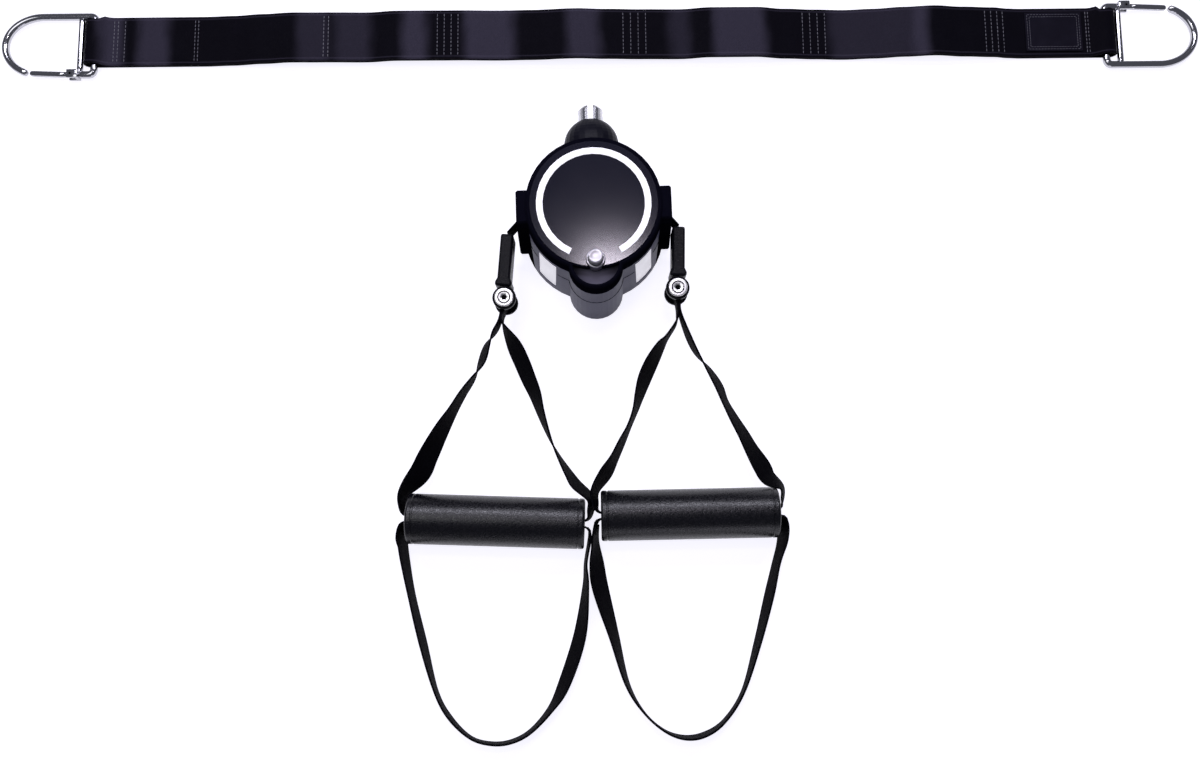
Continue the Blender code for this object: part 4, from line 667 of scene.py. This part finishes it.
def handle_routes(side):
    half = GRIP_LENGTH / 2
    end = half + BEND_OVERHANG
    inside = [(half * share, TUBE_SPREAD) for share in (-0.96, -0.84, 0.84, 0.96)]
    bend = [(half + 0.0025, GRIP_RADIUS / 5), (end, GRIP_RADIUS / 2)]
    corner = [(end, GRIP_RADIUS)]
    through = [(-a, b) for a, b in reversed(bend + corner)] + inside + bend + corner
    leaning = [BEND_LEAN, BEND_LEAN * 0.7, BEND_LEAN * 0.2]
    leans = leaning + [0.0] * 4 + [-lean for lean in reversed(leaning)]
    run = [(*grip_point(side, a, b), GRIP_HEIGHT, lean) for (a, b), lean in zip(through, leans)]
    bolt = Vector(side["bolt"])
    down = Vector(side["apex"]) - bolt
    across = Vector((-down.y, down.x)).normalized() * PINCH
    neck = [bolt + down * share for share in (1.0, 0.55)]
    east = [(*(place + across), STRAP_HEIGHT, 0) for place in neck]
    west = [(*(place - across), STRAP_HEIGHT, 0) for place in reversed(neck)]
    turn = atan2(down.x, -down.y)
    eye = [(x, y, STRAP_HEIGHT, 0) for x, y in arc(bolt, EYE_RADIUS, radians(-45) + turn,
                                                   radians(225) + turn, 7)]
    handle = Route(eye + west + list(side["strand_west"]) + run + list(side["strand_east"]) + east, True)
    first, last = side["loop_leans"]
    start = [(*grip_point(side, -a, -b), GRIP_HEIGHT, lean)
             for (a, b), lean in zip(inside + bend, [0.0] * 4 + [first * 0.3, first])]
    finish = [(*grip_point(side, a, -b), GRIP_HEIGHT, lean)
              for (a, b), lean in zip(reversed(bend), (last, last * 0.3))]
    return handle, Route(start + list(side["loop"]) + finish, True)


def make_handle(word, side):
    handle, loop = handle_routes(side)
    for name, way, node in (("handle_strap", handle, "handle_webbing"), ("foot_strap", loop, "foot_loop")):
        webbing = strip(f"{word}_{name}", way, HANDLE_WIDTH, HANDLE_THICKNESS, WEBBING, crown=0.05)
        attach(webbing, f"{word}_handle")
        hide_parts(f"{node}_{word}")
    half = GRIP_LENGTH / 2
    turn = (Matrix.Translation((*side["grip"], GRIP_HEIGHT)) @ Matrix.Rotation(side["grip_turn"], 4, "Z")
            @ Matrix.Rotation(pi / 2, 4, "Y"))
    near, far = (half - inset for inset in GRIP_GROOVE)
    deep = GRIP_RADIUS - GRIP_GROOVE_DEPTH
    outer = [(GRIP_RADIUS, near), (deep, near + 0.0004), (deep, far - 0.0004), (GRIP_RADIUS, far)]
    outer += arc((GRIP_RADIUS - GRIP_RIM, half - GRIP_RIM), GRIP_RIM, 0, pi / 2, 6)
    outer += [(GRIP_BORE + 0.0006, half), (GRIP_BORE, half - 0.0006)]
    profile = outer + [(radius, -height) for radius, height in reversed(outer)]
    grip = spun(f"{word}_grip_foam", profile, RUBBER, 72, turn)
    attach(grip, f"{word}_grip")
    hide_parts(f"grip_{word}")


# Straps between the housing and the links
def lead_plan(sign, over_run=0.0):
    reach = REEL_LINE + sign * ROLLER_LINE
    bearing = atan2(ROLLER_Y, sign * ROLLER_X)
    normal = bearing - acos(reach / hypot(ROLLER_X, ROLLER_Y))
    leave = (REEL_LINE * cos(normal), REEL_LINE * sin(normal))
    out = -MOUTH_ANGLE if sign == 1 else MOUTH_ANGLE - pi
    last = out + sign * pi / 2
    first = last + remainder(normal + (pi if sign == 1 else 0.0) - last, 2 * pi)
    bend = arc((sign * ROLLER_X, ROLLER_Y), ROLLER_LINE, first, last, 10)
    run = (MOUTH_REACH + over_run - abs(bend[-1][0])) / cos(MOUTH_ANGLE)
    mouth = (bend[-1][0] + run * cos(out), bend[-1][1] + run * sin(out))
    return [leave] + bend + [mouth]


def make_strap(word, side):
    inner = Route([(x, y, STRAP_HEIGHT, 0) for x, y in lead_plan(side["sign"])], smooth=False)
    lead = strip(f"{word}_strap_inside", inner, STRAP_WIDTH, STRAP_THICKNESS, WEBBING, 0.0012, 12)
    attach(lead, "housing")
    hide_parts(f"strap_lead_{word}")
    mouth = Vector(lead_plan(side["sign"], 0.0006)[-1])
    top, end = Vector(side["sleeve_top"]), Vector(side["sleeve_end"])
    ahead = top - (end - top).normalized() * (STRAP_THICKNESS / 2 + 0.0006)
    bend = mouth * 0.25 + ahead * 0.75
    keys = [(*place, STRAP_HEIGHT, 0) for place in (mouth, mouth.lerp(bend, 0.6), bend, ahead)]
    tail = strip(f"{word}_strap_outside", Route(keys), STRAP_WIDTH, STRAP_THICKNESS, WEBBING, 0.0008, 12)
    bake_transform(tail)
    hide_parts(f"strap_tail_{word}")


def make_roll():
    """The webbing wound on the reel, as one spiral."""
    inner, outer = ROLL_CORE_RADIUS, WOUND_RADIUS - STRAP_THICKNESS / 2
    turns = int((outer - inner) / (STRAP_THICKNESS + WIND_GAP))
    count = turns * 40
    keys = []
    for i in range(count + 1):
        radius = inner + (outer - inner) * i / count
        angle = 2 * pi * turns * i / count
        keys.append((radius * cos(angle), radius * sin(angle), STRAP_HEIGHT, 0))
    roll = strip("wound_strap", Route(keys, smooth=False), STRAP_WIDTH - 0.0002, STRAP_THICKNESS, WEBBING,
                 0.004, 4)
    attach(roll, "reel")
    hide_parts("wound_webbing")


# Housing details
def outline_reach(angle, height):
    """Distance from the housing's axis to its wall at one angle and height."""
    share = height / HOUSING_HEIGHT
    reach, lobe, centre, block, width = (base + (face - base) * share for base, face in (
        CASE_RADIUS, LOBE_RADIUS, LOBE_CENTRE, BLOCK_REACH, BLOCK_WIDTH))
    half = width / 2
    c, s = cos(angle), sin(angle)
    inside = lobe ** 2 - (centre * c) ** 2
    if inside > 0 and s < 0:
        reach = max(reach, sqrt(inside) - centre * s)
    if abs(c) > 0.3:
        across = block / abs(c)
        if abs(across * s) < half:
            reach = max(reach, min(across, (block + half - BLOCK_BEVEL) / (abs(c) + abs(s))))
    return reach


def make_seam():
    """The dark joint between the two halves of the case, broken by the side windows."""
    side, lobe = WINDOW_ANGLE - WINDOW_SPREAD, WINDOW_ANGLE + WINDOW_SPREAD
    for name, first, last, steps in (("case_joint_line", -side, pi + side, 640),
                                     ("lobe_joint_line", lobe - pi, -lobe, 300)):
        keys = []
        for i in range(steps + 1):
            angle = first + (last - first) * i / steps
            reach = outline_reach(angle, SEAM_HEIGHT) - SEAM_INSET
            keys.append((reach * cos(angle), reach * sin(angle), SEAM_HEIGHT))
        line = strip(name, Route(keys, wide=Vector((0, 0, 1)), smooth=False), SEAM_WIDTH, SEAM_THICKNESS,
                     JOINT_AND_SHADE_BLACK, 0.0006, 2)
        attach(line, "housing")


def make_button():
    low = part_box("release_button")[0][2]
    edge = 0.0009
    groove_low, groove_high = BUTTON_GROOVE
    flange_low, flange_high = BUTTON_FLANGE
    deep = BUTTON_RADIUS - BUTTON_GROOVE_DEPTH
    cap = [(0.0, BUTTON_TOP - 0.00012), (BUTTON_RADIUS - 0.0018, BUTTON_TOP - 0.00010),
           (BUTTON_RADIUS - 0.0014, BUTTON_TOP)]
    cap += arc((BUTTON_RADIUS - edge, BUTTON_TOP - edge), edge, pi / 2, 0, 6)
    cap += [(BUTTON_RADIUS, groove_high), (deep, groove_high - 0.0002), (deep, groove_low + 0.0002),
            (BUTTON_RADIUS, groove_low), (BUTTON_RADIUS, flange_high), (BUTTON_FLANGE_RADIUS, flange_high),
            (BUTTON_FLANGE_RADIUS, flange_low), (BUTTON_STEM_RADIUS, flange_low),
            (BUTTON_STEM_RADIUS, low + 0.0017), (0.0008, low), (0.0, low)]
    place = Matrix.Translation((0, BUTTON_Y, 0))
    button = spun("button_cap", cap, CAP_STEEL, 72, place)
    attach(button, "button")
    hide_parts("release_button")
    bore = BUTTON_RADIUS + CLEARANCE
    rim = 0.0005
    ring = [(bore, COLLAR_TOP - 0.0003), (bore + 0.0003, COLLAR_TOP)]
    ring += arc((COLLAR_RADIUS - rim, COLLAR_TOP - rim), rim, pi / 2, 0, 5)
    ring += [(COLLAR_RADIUS, COLLAR_BOTTOM), (bore, COLLAR_BOTTOM)]
    collar = spun("collar_ring", ring, CAP_STEEL, 72, place)
    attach(collar, "housing")
    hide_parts("button_collar")


def make_button_spring():
    """The coil under the button, rebuilt from its solid on a mesh of its own."""
    bm = bmesh.new()
    bm.from_mesh(NODES["button_spring"].data)
    bmesh.ops.remove_doubles(bm, verts=bm.verts, dist=0.00001)
    bmesh.ops.recalc_face_normals(bm, faces=bm.faces)
    spring = finished("button_coil", bm, STEEL)
    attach(spring, "housing")
    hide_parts("button_spring")
    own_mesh(spring)


def make_bolt(word, side):
    """The bolt that a handle swings on, with a turned ring and a six-sided socket in its head."""
    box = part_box(f"link_bolt_{word}")
    low, high = box[0][2], box[1][2]
    place = Matrix.Translation((*side["bolt"], 0))
    seat = high - LINK_HEAD_HEIGHT
    deep = high - SOCKET_DEPTH
    edge = 0.0008
    inner, outer = LINK_RING
    profile = [(0.0, deep - 0.0014), (0.0009, deep - 0.0006), (0.0010, deep - 0.0001),
               (SOCKET_RADIUS - 0.0004, deep), (SOCKET_RADIUS, deep + 0.0003),
               (SOCKET_RADIUS, high - 0.0003), (SOCKET_RADIUS + 0.0005, high - 0.00005), (inner, high),
               (inner + 0.0002, high - LINK_RING_DEPTH), (outer - 0.0002, high - LINK_RING_DEPTH),
               (outer, high)]
    profile += arc((LINK_HEAD_RADIUS - edge, high - edge), edge, pi / 2, 0, 6)
    profile += [(LINK_HEAD_RADIUS, seat + 0.0003), (LINK_HEAD_RADIUS - 0.0003, seat),
                (LINK_BOLT_RADIUS, seat), (LINK_BOLT_RADIUS, low + 0.0004),
                (LINK_BOLT_RADIUS - 0.0004, low), (0.0, low)]
    bolt = spun(f"{word}_link_bolt_turned", profile, BOLT_STEEL, 72)
    for vert in bolt.data.vertices:
        reach = vert.co.xy.length
        if 0.0015 < reach < SOCKET_RADIUS + 0.0001 and vert.co.z > seat:
            angle = atan2(vert.co.y, vert.co.x) % (pi / 3) - pi / 6
            factor = cos(pi / 6) / cos(angle)
            vert.co.x *= factor
            vert.co.y *= factor
    # Painted shade: black rings laid in the head's groove and on the socket's floor.
    near, far = inner + 0.00015, outer - 0.00015
    ring = [(near, high - 0.0006), (far, high - 0.0006), (far, high - 0.0003), (near, high - 0.0003)]
    wall = SOCKET_RADIUS - 0.0008
    floor = [(0.0, deep - 0.0001), (wall, deep - 0.0001), (wall + 0.0002, deep + 0.0001),
             (wall, deep + 0.0003), (0.0, deep + 0.0003)]
    for name, outline in (("ring", ring), ("socket", floor)):
        piece = spun(f"{word}_bolt_painted_shade_{name}", outline, JOINT_AND_SHADE_BLACK, 48, place)
        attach(piece, f"{word}_strap_end")
    bolt.data.transform(place)
    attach(bolt, f"{word}_strap_end")
    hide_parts(f"link_bolt_{word}")


# Anchor strap
def anchor_matrix():
    return Matrix.Translation(ANCHOR_CENTRE) @ Matrix.Rotation(ANCHOR_TURN, 4, "Z")


def anchor_lift(x):
    """Height that the webbing stands off the ground at one place along it."""
    share = x / ANCHOR_HALF_LENGTH
    for (a, low), (b, high) in zip(LIFTS, LIFTS[1:]):
        if a < share <= b:
            return low + (high - low) * (0.5 - 0.5 * cos(pi * (share - a) / (b - a)))
    return 0.0


def layer_faces(x):
    """Heights of the lower and the upper layer's inner faces."""
    low = ANCHOR_REST + ANCHOR_LAYER + anchor_lift(x)
    high = low + ANCHOR_GAP
    share = min((ANCHOR_HALF_LENGTH - abs(x)) / END_TAPER, 1.0)
    ease = 0.5 + 0.5 * cos(pi * share)
    return low, high + ease * (BAR_HEIGHT + BAR_LOOP_RADIUS - high)


def make_anchor():
    matrix = anchor_matrix()
    half = ANCHOR_LAYER / 2
    count = 260
    xs = [-ANCHOR_HALF_LENGTH + 2 * ANCHOR_HALF_LENGTH * i / count for i in range(count + 1)]
    bottom = [(x, layer_faces(x)[0] - half) for x in xs]
    top = [(x, layer_faces(x)[1] + half) for x in reversed(xs)]
    radius = BAR_LOOP_RADIUS + half
    eye = ANCHOR_HALF_LENGTH + EYE_SLACK
    right = arc((eye, BAR_HEIGHT), radius, -pi / 2, pi / 2, 12)
    left = arc((-eye, BAR_HEIGHT), radius, pi / 2, 3 * pi / 2, 12)
    keys = [tuple(matrix @ Vector((x, 0, z))) for x, z in bottom + right + top + left]
    wide = Vector((-sin(ANCHOR_TURN), cos(ANCHOR_TURN), 0))
    route = Route(keys, closed=True, wide=wide, smooth=False)
    band = strip("anchor_strap", route, ANCHOR_WIDTH, ANCHOR_LAYER, ANCHOR_WEBBING, 0.0024, 16, 0.10)
    wire_edge = CARABINER_SHIFT + CARABINER_HALF_WIDTH - WIRE_RADIUS - 2 * CLEARANCE
    back = matrix.inverted()
    for vert in band.data.vertices:
        place = back @ vert.co
        near = min(max((abs(place.x) - ANCHOR_HALF_LENGTH + TRIM_START) / TRIM_RUN, 0.0), 1.0)
        if place.y > 0:
            place.y *= 1 - near * (1 - 2 * wire_edge / ANCHOR_WIDTH)
            vert.co = matrix @ place
    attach(band, "housing")
    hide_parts("anchor_webbing")


def sewn_row(x, above=True):
    """Threads of one row across the strap, on its upper or lower face."""
    matrix = anchor_matrix()
    low, high = layer_faces(x)
    height = high + ANCHOR_LAYER if above else low - ANCHOR_LAYER
    across = (matrix.to_3x3() @ Vector((0, 1, 0))).normalized()
    up = Vector((0, 0, 1 if above else -1))
    sides = [-ROW_REACH + 2 * ROW_REACH * (i + 0.5) / ROW_STITCHES for i in range(ROW_STITCHES)]
    return [(matrix @ Vector((x, side, height)), across, up) for side in sides]


def make_sewing():
    """One, two or four rows at each sewn place, by its length, and the rows at the eyes."""
    threads = []
    for x, length in TACKS:
        rows = 1 if length < 0.007 else 2 if length < 0.02 else 4
        for row in range(rows):
            place = x + (length - TACK_MARGIN) * ((row + 0.5) / rows - 0.5)
            threads += sewn_row(place) + sewn_row(place, above=False)
    for x in END_ROWS:
        threads += sewn_row(x)
    sewing = stitches("sewing", threads, THREAD)
    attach(sewing, "housing")


def make_label():
    """The bare patch, sewn on with two rows round its border."""
    matrix = anchor_matrix()
    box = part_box("anchor_label")
    low, high = box[0][2], box[1][2]
    middle = (low + high) / 2
    half = LABEL_LENGTH / 2
    keys = [tuple(matrix @ Vector((LABEL_PLACE + half * t, 0, middle))) for t in (-1, -0.33, 0.33, 1)]
    wide = matrix.to_3x3() @ Vector((0, 1, 0))
    patch = strip("sewn_patch", Route(keys, wide=wide, smooth=False), LABEL_WIDTH, high - low, LABEL_BLACK,
                  0.0010, 32)
    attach(patch, "housing")
    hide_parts("anchor_label")
    along = (matrix.to_3x3() @ Vector((1, 0, 0))).normalized()
    across = wide.normalized()
    up = Vector((0, 0, 1))
    threads = []
    for inset in PATCH_INSETS:
        a, b = half - inset, LABEL_WIDTH / 2 - inset
        for count, length, direction, offset in ((17, a, along, across * b), (12, b, across, along * a)):
            for sign in (-1, 1):
                for i in range(count):
                    t = -1 + 2 * (i + 0.5) / count
                    place = matrix @ Vector((LABEL_PLACE, 0, high)) + direction * length * t + offset * sign
                    threads.append((place, direction, up))
    border = stitches("patch_sewing", threads, THREAD, 0.0016, 0.00036, 0.00016)
    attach(border, "housing")


def make_carabiner(word, sign):
    turn = 0.0 if sign == -1 else pi
    matrix = (anchor_matrix() @ Matrix.Translation((sign * ANCHOR_HALF_LENGTH, CARABINER_SHIFT, BAR_HEIGHT))
              @ Matrix.Rotation(turn, 4, "Z"))
    half, corner = CARABINER_HALF_WIDTH, CARABINER_CORNER
    reach = CARABINER_LENGTH - CURVE_START
    nose = pi + acos((GATE_TIP - CURVE_START) / reach)
    curve = [(-CURVE_START + reach * cos(a), half * sin(a))
             for a in [nose + (pi / 2 - nose) * i / 72 for i in range(73)]]
    end = GATE_HINGE - HINGE_BLOCK[0] / 2
    path = (curve + [(-CURVE_START / 2, half)] + arc((-corner, half - corner), corner, pi / 2, 0, 12)
            + arc((-corner, corner - half), corner, 0, -pi / 2, 12) + [(-end, -half)])

    def along(points, turn=matrix):
        return Route([tuple(turn @ Vector((x, y, 0))) for x, y in points], smooth=False)

    body = rod(f"{word}_hook_wire", along(path), WIRE_RADIUS, CHROME, 0.0008)
    cross = rod(f"{word}_hook_bar", along([(-CROSS_BAR_OFFSET, -half), (-CROSS_BAR_OFFSET, half)]),
                WIRE_RADIUS * 0.85, CHROME, 0.0010)
    length, width, height = HINGE_BLOCK
    centre = CLEARANCE - GATE_HINGE + length / 8
    left, right = centre - length / 2, centre + length / 2
    gap = TONGUE_THICKNESS / 2 + CLEARANCE
    root = -GATE_HINGE + TONGUE_RADIUS + 2 * CLEARANCE
    outline = [(left, -height / 2), (right, -height / 2), (right, height / 2), (left, height / 2),
               (left, gap), (root, gap), (root, -gap), (left, -gap)]
    knuckle = prism(f"{word}_hook_hinge", outline, -half - width / 2, -half + width / 2, CHROME, 0.0005,
                    matrix)
    for piece in (body, cross, knuckle):
        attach(piece, f"{word}_carabiner")
        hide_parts(f"carabiner_{word}")
    slope = atan2(curve[0][1] + half, GATE_TIP - GATE_HINGE)
    gate_matrix = matrix @ Matrix.Translation((-GATE_HINGE, -half, 0)) @ Matrix.Rotation(-slope, 4, "Z")
    rod_start = TONGUE_RADIUS + GATE_RADIUS
    gate_length = GATE_TIP - GATE_HINGE - WIRE_RADIUS / 2
    bar = along([(-rod_start, 0), (-gate_length, 0)], gate_matrix)
    gate = rod(f"{word}_gate_bar", bar, GATE_RADIUS, CHROME, 0.0007)
    thick = TONGUE_THICKNESS / 2
    edge = 0.0003
    tongue = spun(f"{word}_gate_tongue", [
        (TONGUE_BORE, thick), (TONGUE_RADIUS - edge, thick), (TONGUE_RADIUS, thick - edge),
        (TONGUE_RADIUS, edge - thick), (TONGUE_RADIUS - edge, -thick), (TONGUE_BORE, -thick)],
                  CHROME, 48, gate_matrix)
    reach = rod_start + GATE_RADIUS
    near = TONGUE_RADIUS * 0.75
    shape = [(-near, -thick), (-near, thick), (-reach, thick), (-reach, -thick)]
    side = GATE_RADIUS * 0.8
    neck = prism(f"{word}_gate_neck", shape, -side, side, CHROME, edge, gate_matrix)
    for piece in (gate, tongue, neck):
        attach(piece, f"{word}_gate")
        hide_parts(f"gate_{word}")


def set_floor_and_light():
    """White paper that glows only where it is looked at, a pale room and four lamps."""
    bm = bmesh.new()
    bmesh.ops.create_grid(bm, x_segments=1, y_segments=1, size=8.0)
    finish = Finish("floor_paper", (0.42, 0.42, 0.42), 0.9)
    path = finish.node("ShaderNodeLightPath")
    seen = finish.out(path, "Is Camera Ray").most(finish.out(path, "Is Glossy Ray"))
    seen = seen.most(finish.out(path, "Is Transmission Ray"))
    glow = finish.node("ShaderNodeEmission", None, Color=(0.87, 0.86, 0.94, 1.0), Strength=seen)
    finish.show(finish.node("ShaderNodeAddShader", None, _0=finish.out(finish.shader), _1=finish.out(glow)))
    finished("floor", bm, finish.material, smooth=False)
    world = bpy.data.worlds.new("studio")
    bpy.context.scene.world = world
    world.use_nodes = True
    tree = world.node_tree
    back = tree.nodes["Background"]
    back.inputs["Color"].default_value = (0.80, 0.82, 1.0, 1.0)
    path = add_node(tree, "ShaderNodeLightPath")
    level = Socket(tree, path.outputs["Is Camera Ray"]) * 1.15 + 0.15
    tree.links.new(level.output, back.inputs["Strength"])
    for name, place, aim, size, power, colour in (
            ("key", (-0.60, 0.10, 1.60), (0, -0.05, 0), (0.80, 0.80), 5.0, (0.97, 0.97, 1.0)),
            ("face", (0.035, 0.240, 1.30), (0, -0.04, 0), (0.09, 0.06), 1.3, (0.94, 0.86, 1.0)),
            ("strap", (0.0, 0.72, 1.05), (0, -0.05, 0), (1.40, 0.22), 13.0, (0.88, 0.87, 1.0)),
            ("front", (0.20, -1.20, 0.25), (0, -0.05, 0.02), (0.60, 0.30), 1.0, (0.90, 0.88, 1.0))):
        data = bpy.data.lights.new(name, "AREA")
        data.shape = "RECTANGLE"
        data.size, data.size_y = size
        data.energy = power
        data.color = colour
        lamp = put(name, data)
        lamp.location = place
        lamp.rotation_euler = (Vector(aim) - Vector(place)).to_track_quat("-Z", "Y").to_euler()


def dress_solids():
    """Give the solids that stay their finishes."""
    for material, nodes in (
            (LIT_LOW_SHELL, "rear_shell"),
            (SHELL, "middle_shell reel"),
            (NECK_BLACK, "swivel_neck grip_tube_left grip_tube_right"),
            (COVER, "front_cover"),
            (FACE, "face_plate"),
            (TRIM, "ring_inlay side_window_left side_window_right"),
            (LINK_BLACK, "link_shackle_left link_shackle_right"),
            (STEEL, "swivel_stud reel_axle ratchet_wheel spring_cup spring_cover recoil_spring "
                    "pawl pawl_pin case_screw_left_top case_screw_right_top case_screw_left_bottom "
                    "case_screw_right_bottom guide_roller_left guide_roller_right roller_pin_left "
                    "roller_pin_right gate_pin_left gate_pin_right"),
            (BRONZE, "swivel_washer rear_bush front_bush"),
            (SLEEVE_RUBBER, "strap_sleeve_left strap_sleeve_right")):
        for node in nodes.split():
            for entry in NODES[node].material_slots:
                entry.material = material


# Painted light: the shells' grey-violet stands in for the white floor's glow on black walls; the lower shell
# is the lit copy, the upper one the copy shaded by the cover.
SHELL = moulded_plastic("shell_plastic", (0.078, 0.077, 0.130), (0.102, 0.100, 0.168), 0.45, 0.4, 0.1,
                        patchy=0.5, painted_shade_from=SHADED_BLOCK_START)
LIT_LOW_SHELL = moulded_plastic("low_shell_plastic", (0.092, 0.090, 0.150), (0.120, 0.117, 0.190), 0.45, 0.4,
                            0.1, patchy=0.5, painted_shade_from=SHADED_BLOCK_START)
# The cover is unreflecting; its dish carries a painted reflection instead.
COVER = moulded_plastic("cover_plastic", (0.0030, 0.0029, 0.0065), (0.006, 0.0058, 0.012), 0.24, 0.05, 0.0,
                        patchy=0.2, dish=(0.16, 0.15, 0.20))
FACE = moulded_plastic("face_plastic", (0.0040, 0.0040, 0.0125), (0.0065, 0.0065, 0.018), 0.14, 0.03, 0.40,
                       patchy=0.05)
LINK_BLACK = moulded_plastic("link_plastic", (0.0015, 0.0015, 0.003), (0.003, 0.003, 0.006), 0.32, 0.2, 0.04)
LABEL_BLACK = woven("label_cloth", (0.006, 0.0055, 0.010), (0.018, 0.016, 0.027), 0.0006, 0.0006, gloss=0.03)
NECK_BLACK = moulded_plastic("neck_plastic", (0.003, 0.003, 0.007), (0.007, 0.007, 0.014), 0.42, 0.3, 0.10,
                             patchy=0.4)
# Black for the case's joint, and for the painted shade in the bolts' heads.
JOINT_AND_SHADE_BLACK = moulded_plastic("joint_and_shade_black", (0.001, 0.001, 0.001), (0.002, 0.002, 0.003), 0.6, 0.2, 0.02)
# Ring inlay and side windows: white with a painted glow.
TRIM = white_plastic("trim_white", (0.90, 0.89, 0.93))
STEEL = polished_metal("machined_steel", (0.62, 0.62, 0.64), 0.26, 0.5, "Y")
CHROME = polished_metal("polished_steel", (0.46, 0.46, 0.48), 0.10)
CAP_STEEL = turned_metal("cap_steel", (0.46, 0.45, 0.48), 0.30)
BOLT_STEEL = turned_metal("bolt_steel", (0.74, 0.73, 0.72), 0.36)
BRONZE = polished_metal("bearing_bronze", (0.5, 0.33, 0.16), 0.32, 0.3)
RUBBER = grippy_rubber("grip_rubber", (0.0008, 0.0008, 0.0020), (0.0030, 0.0028, 0.0060), 0.30, 0.42)
SLEEVE_RUBBER = grippy_rubber("sleeve_rubber", (0.0015, 0.0015, 0.003), (0.004, 0.004, 0.007), 0.36, 0.12)
WEBBING = woven("strap_webbing", (0.0008, 0.0007, 0.0014), (0.0036, 0.0032, 0.0055), gloss=0.02)
# Painted sheen on the anchor strap: where light catches it, and how strongly
PAINTED_SHEEN_BANDS = tuple((first + ANCHOR_CENTRE.x, last + ANCHOR_CENTRE.x, level) for first, last, level in (
    (-0.383, -0.367, 0.9), (-0.353, -0.331, 0.8), (-0.231, -0.208, 0.5), (-0.202, -0.176, 0.55),
    (-0.150, -0.133, 0.9), (-0.103, -0.066, 0.9), (-0.025, -0.001, 0.8), (0.053, 0.068, 0.45),
    (0.087, 0.126, 0.85), (0.177, 0.250, 0.5), (0.239, 0.251, 0.4)))
ANCHOR_WEBBING = woven("anchor_webbing_cloth", (0.0008, 0.0007, 0.0016), (0.0028, 0.0024, 0.0050), 0.0013,
                       0.0011, roughness=0.46, gloss=0.02, painted_sheen=(0.048, 0.043, 0.066), bands=PAINTED_SHEEN_BANDS)
# Sewing thread: black-grey, its pale grey partly painted sheen.
THREAD = woven("sewing_thread", (0.10, 0.10, 0.12), (0.27, 0.265, 0.30), 0.0005, 0.0005, sheen=0.1)

bpy.context.scene.view_settings.view_transform = "Standard"
set_camera()
set_floor_and_light()
dress_solids()
for side_word, side_facts in SIDES.items():
    make_handle(side_word, side_facts)
    make_strap(side_word, side_facts)
    make_bolt(side_word, side_facts)
    make_carabiner(side_word, side_facts["sign"])
make_roll()
make_anchor()
make_sewing()
make_label()
make_seam()
make_button()
make_button_spring()
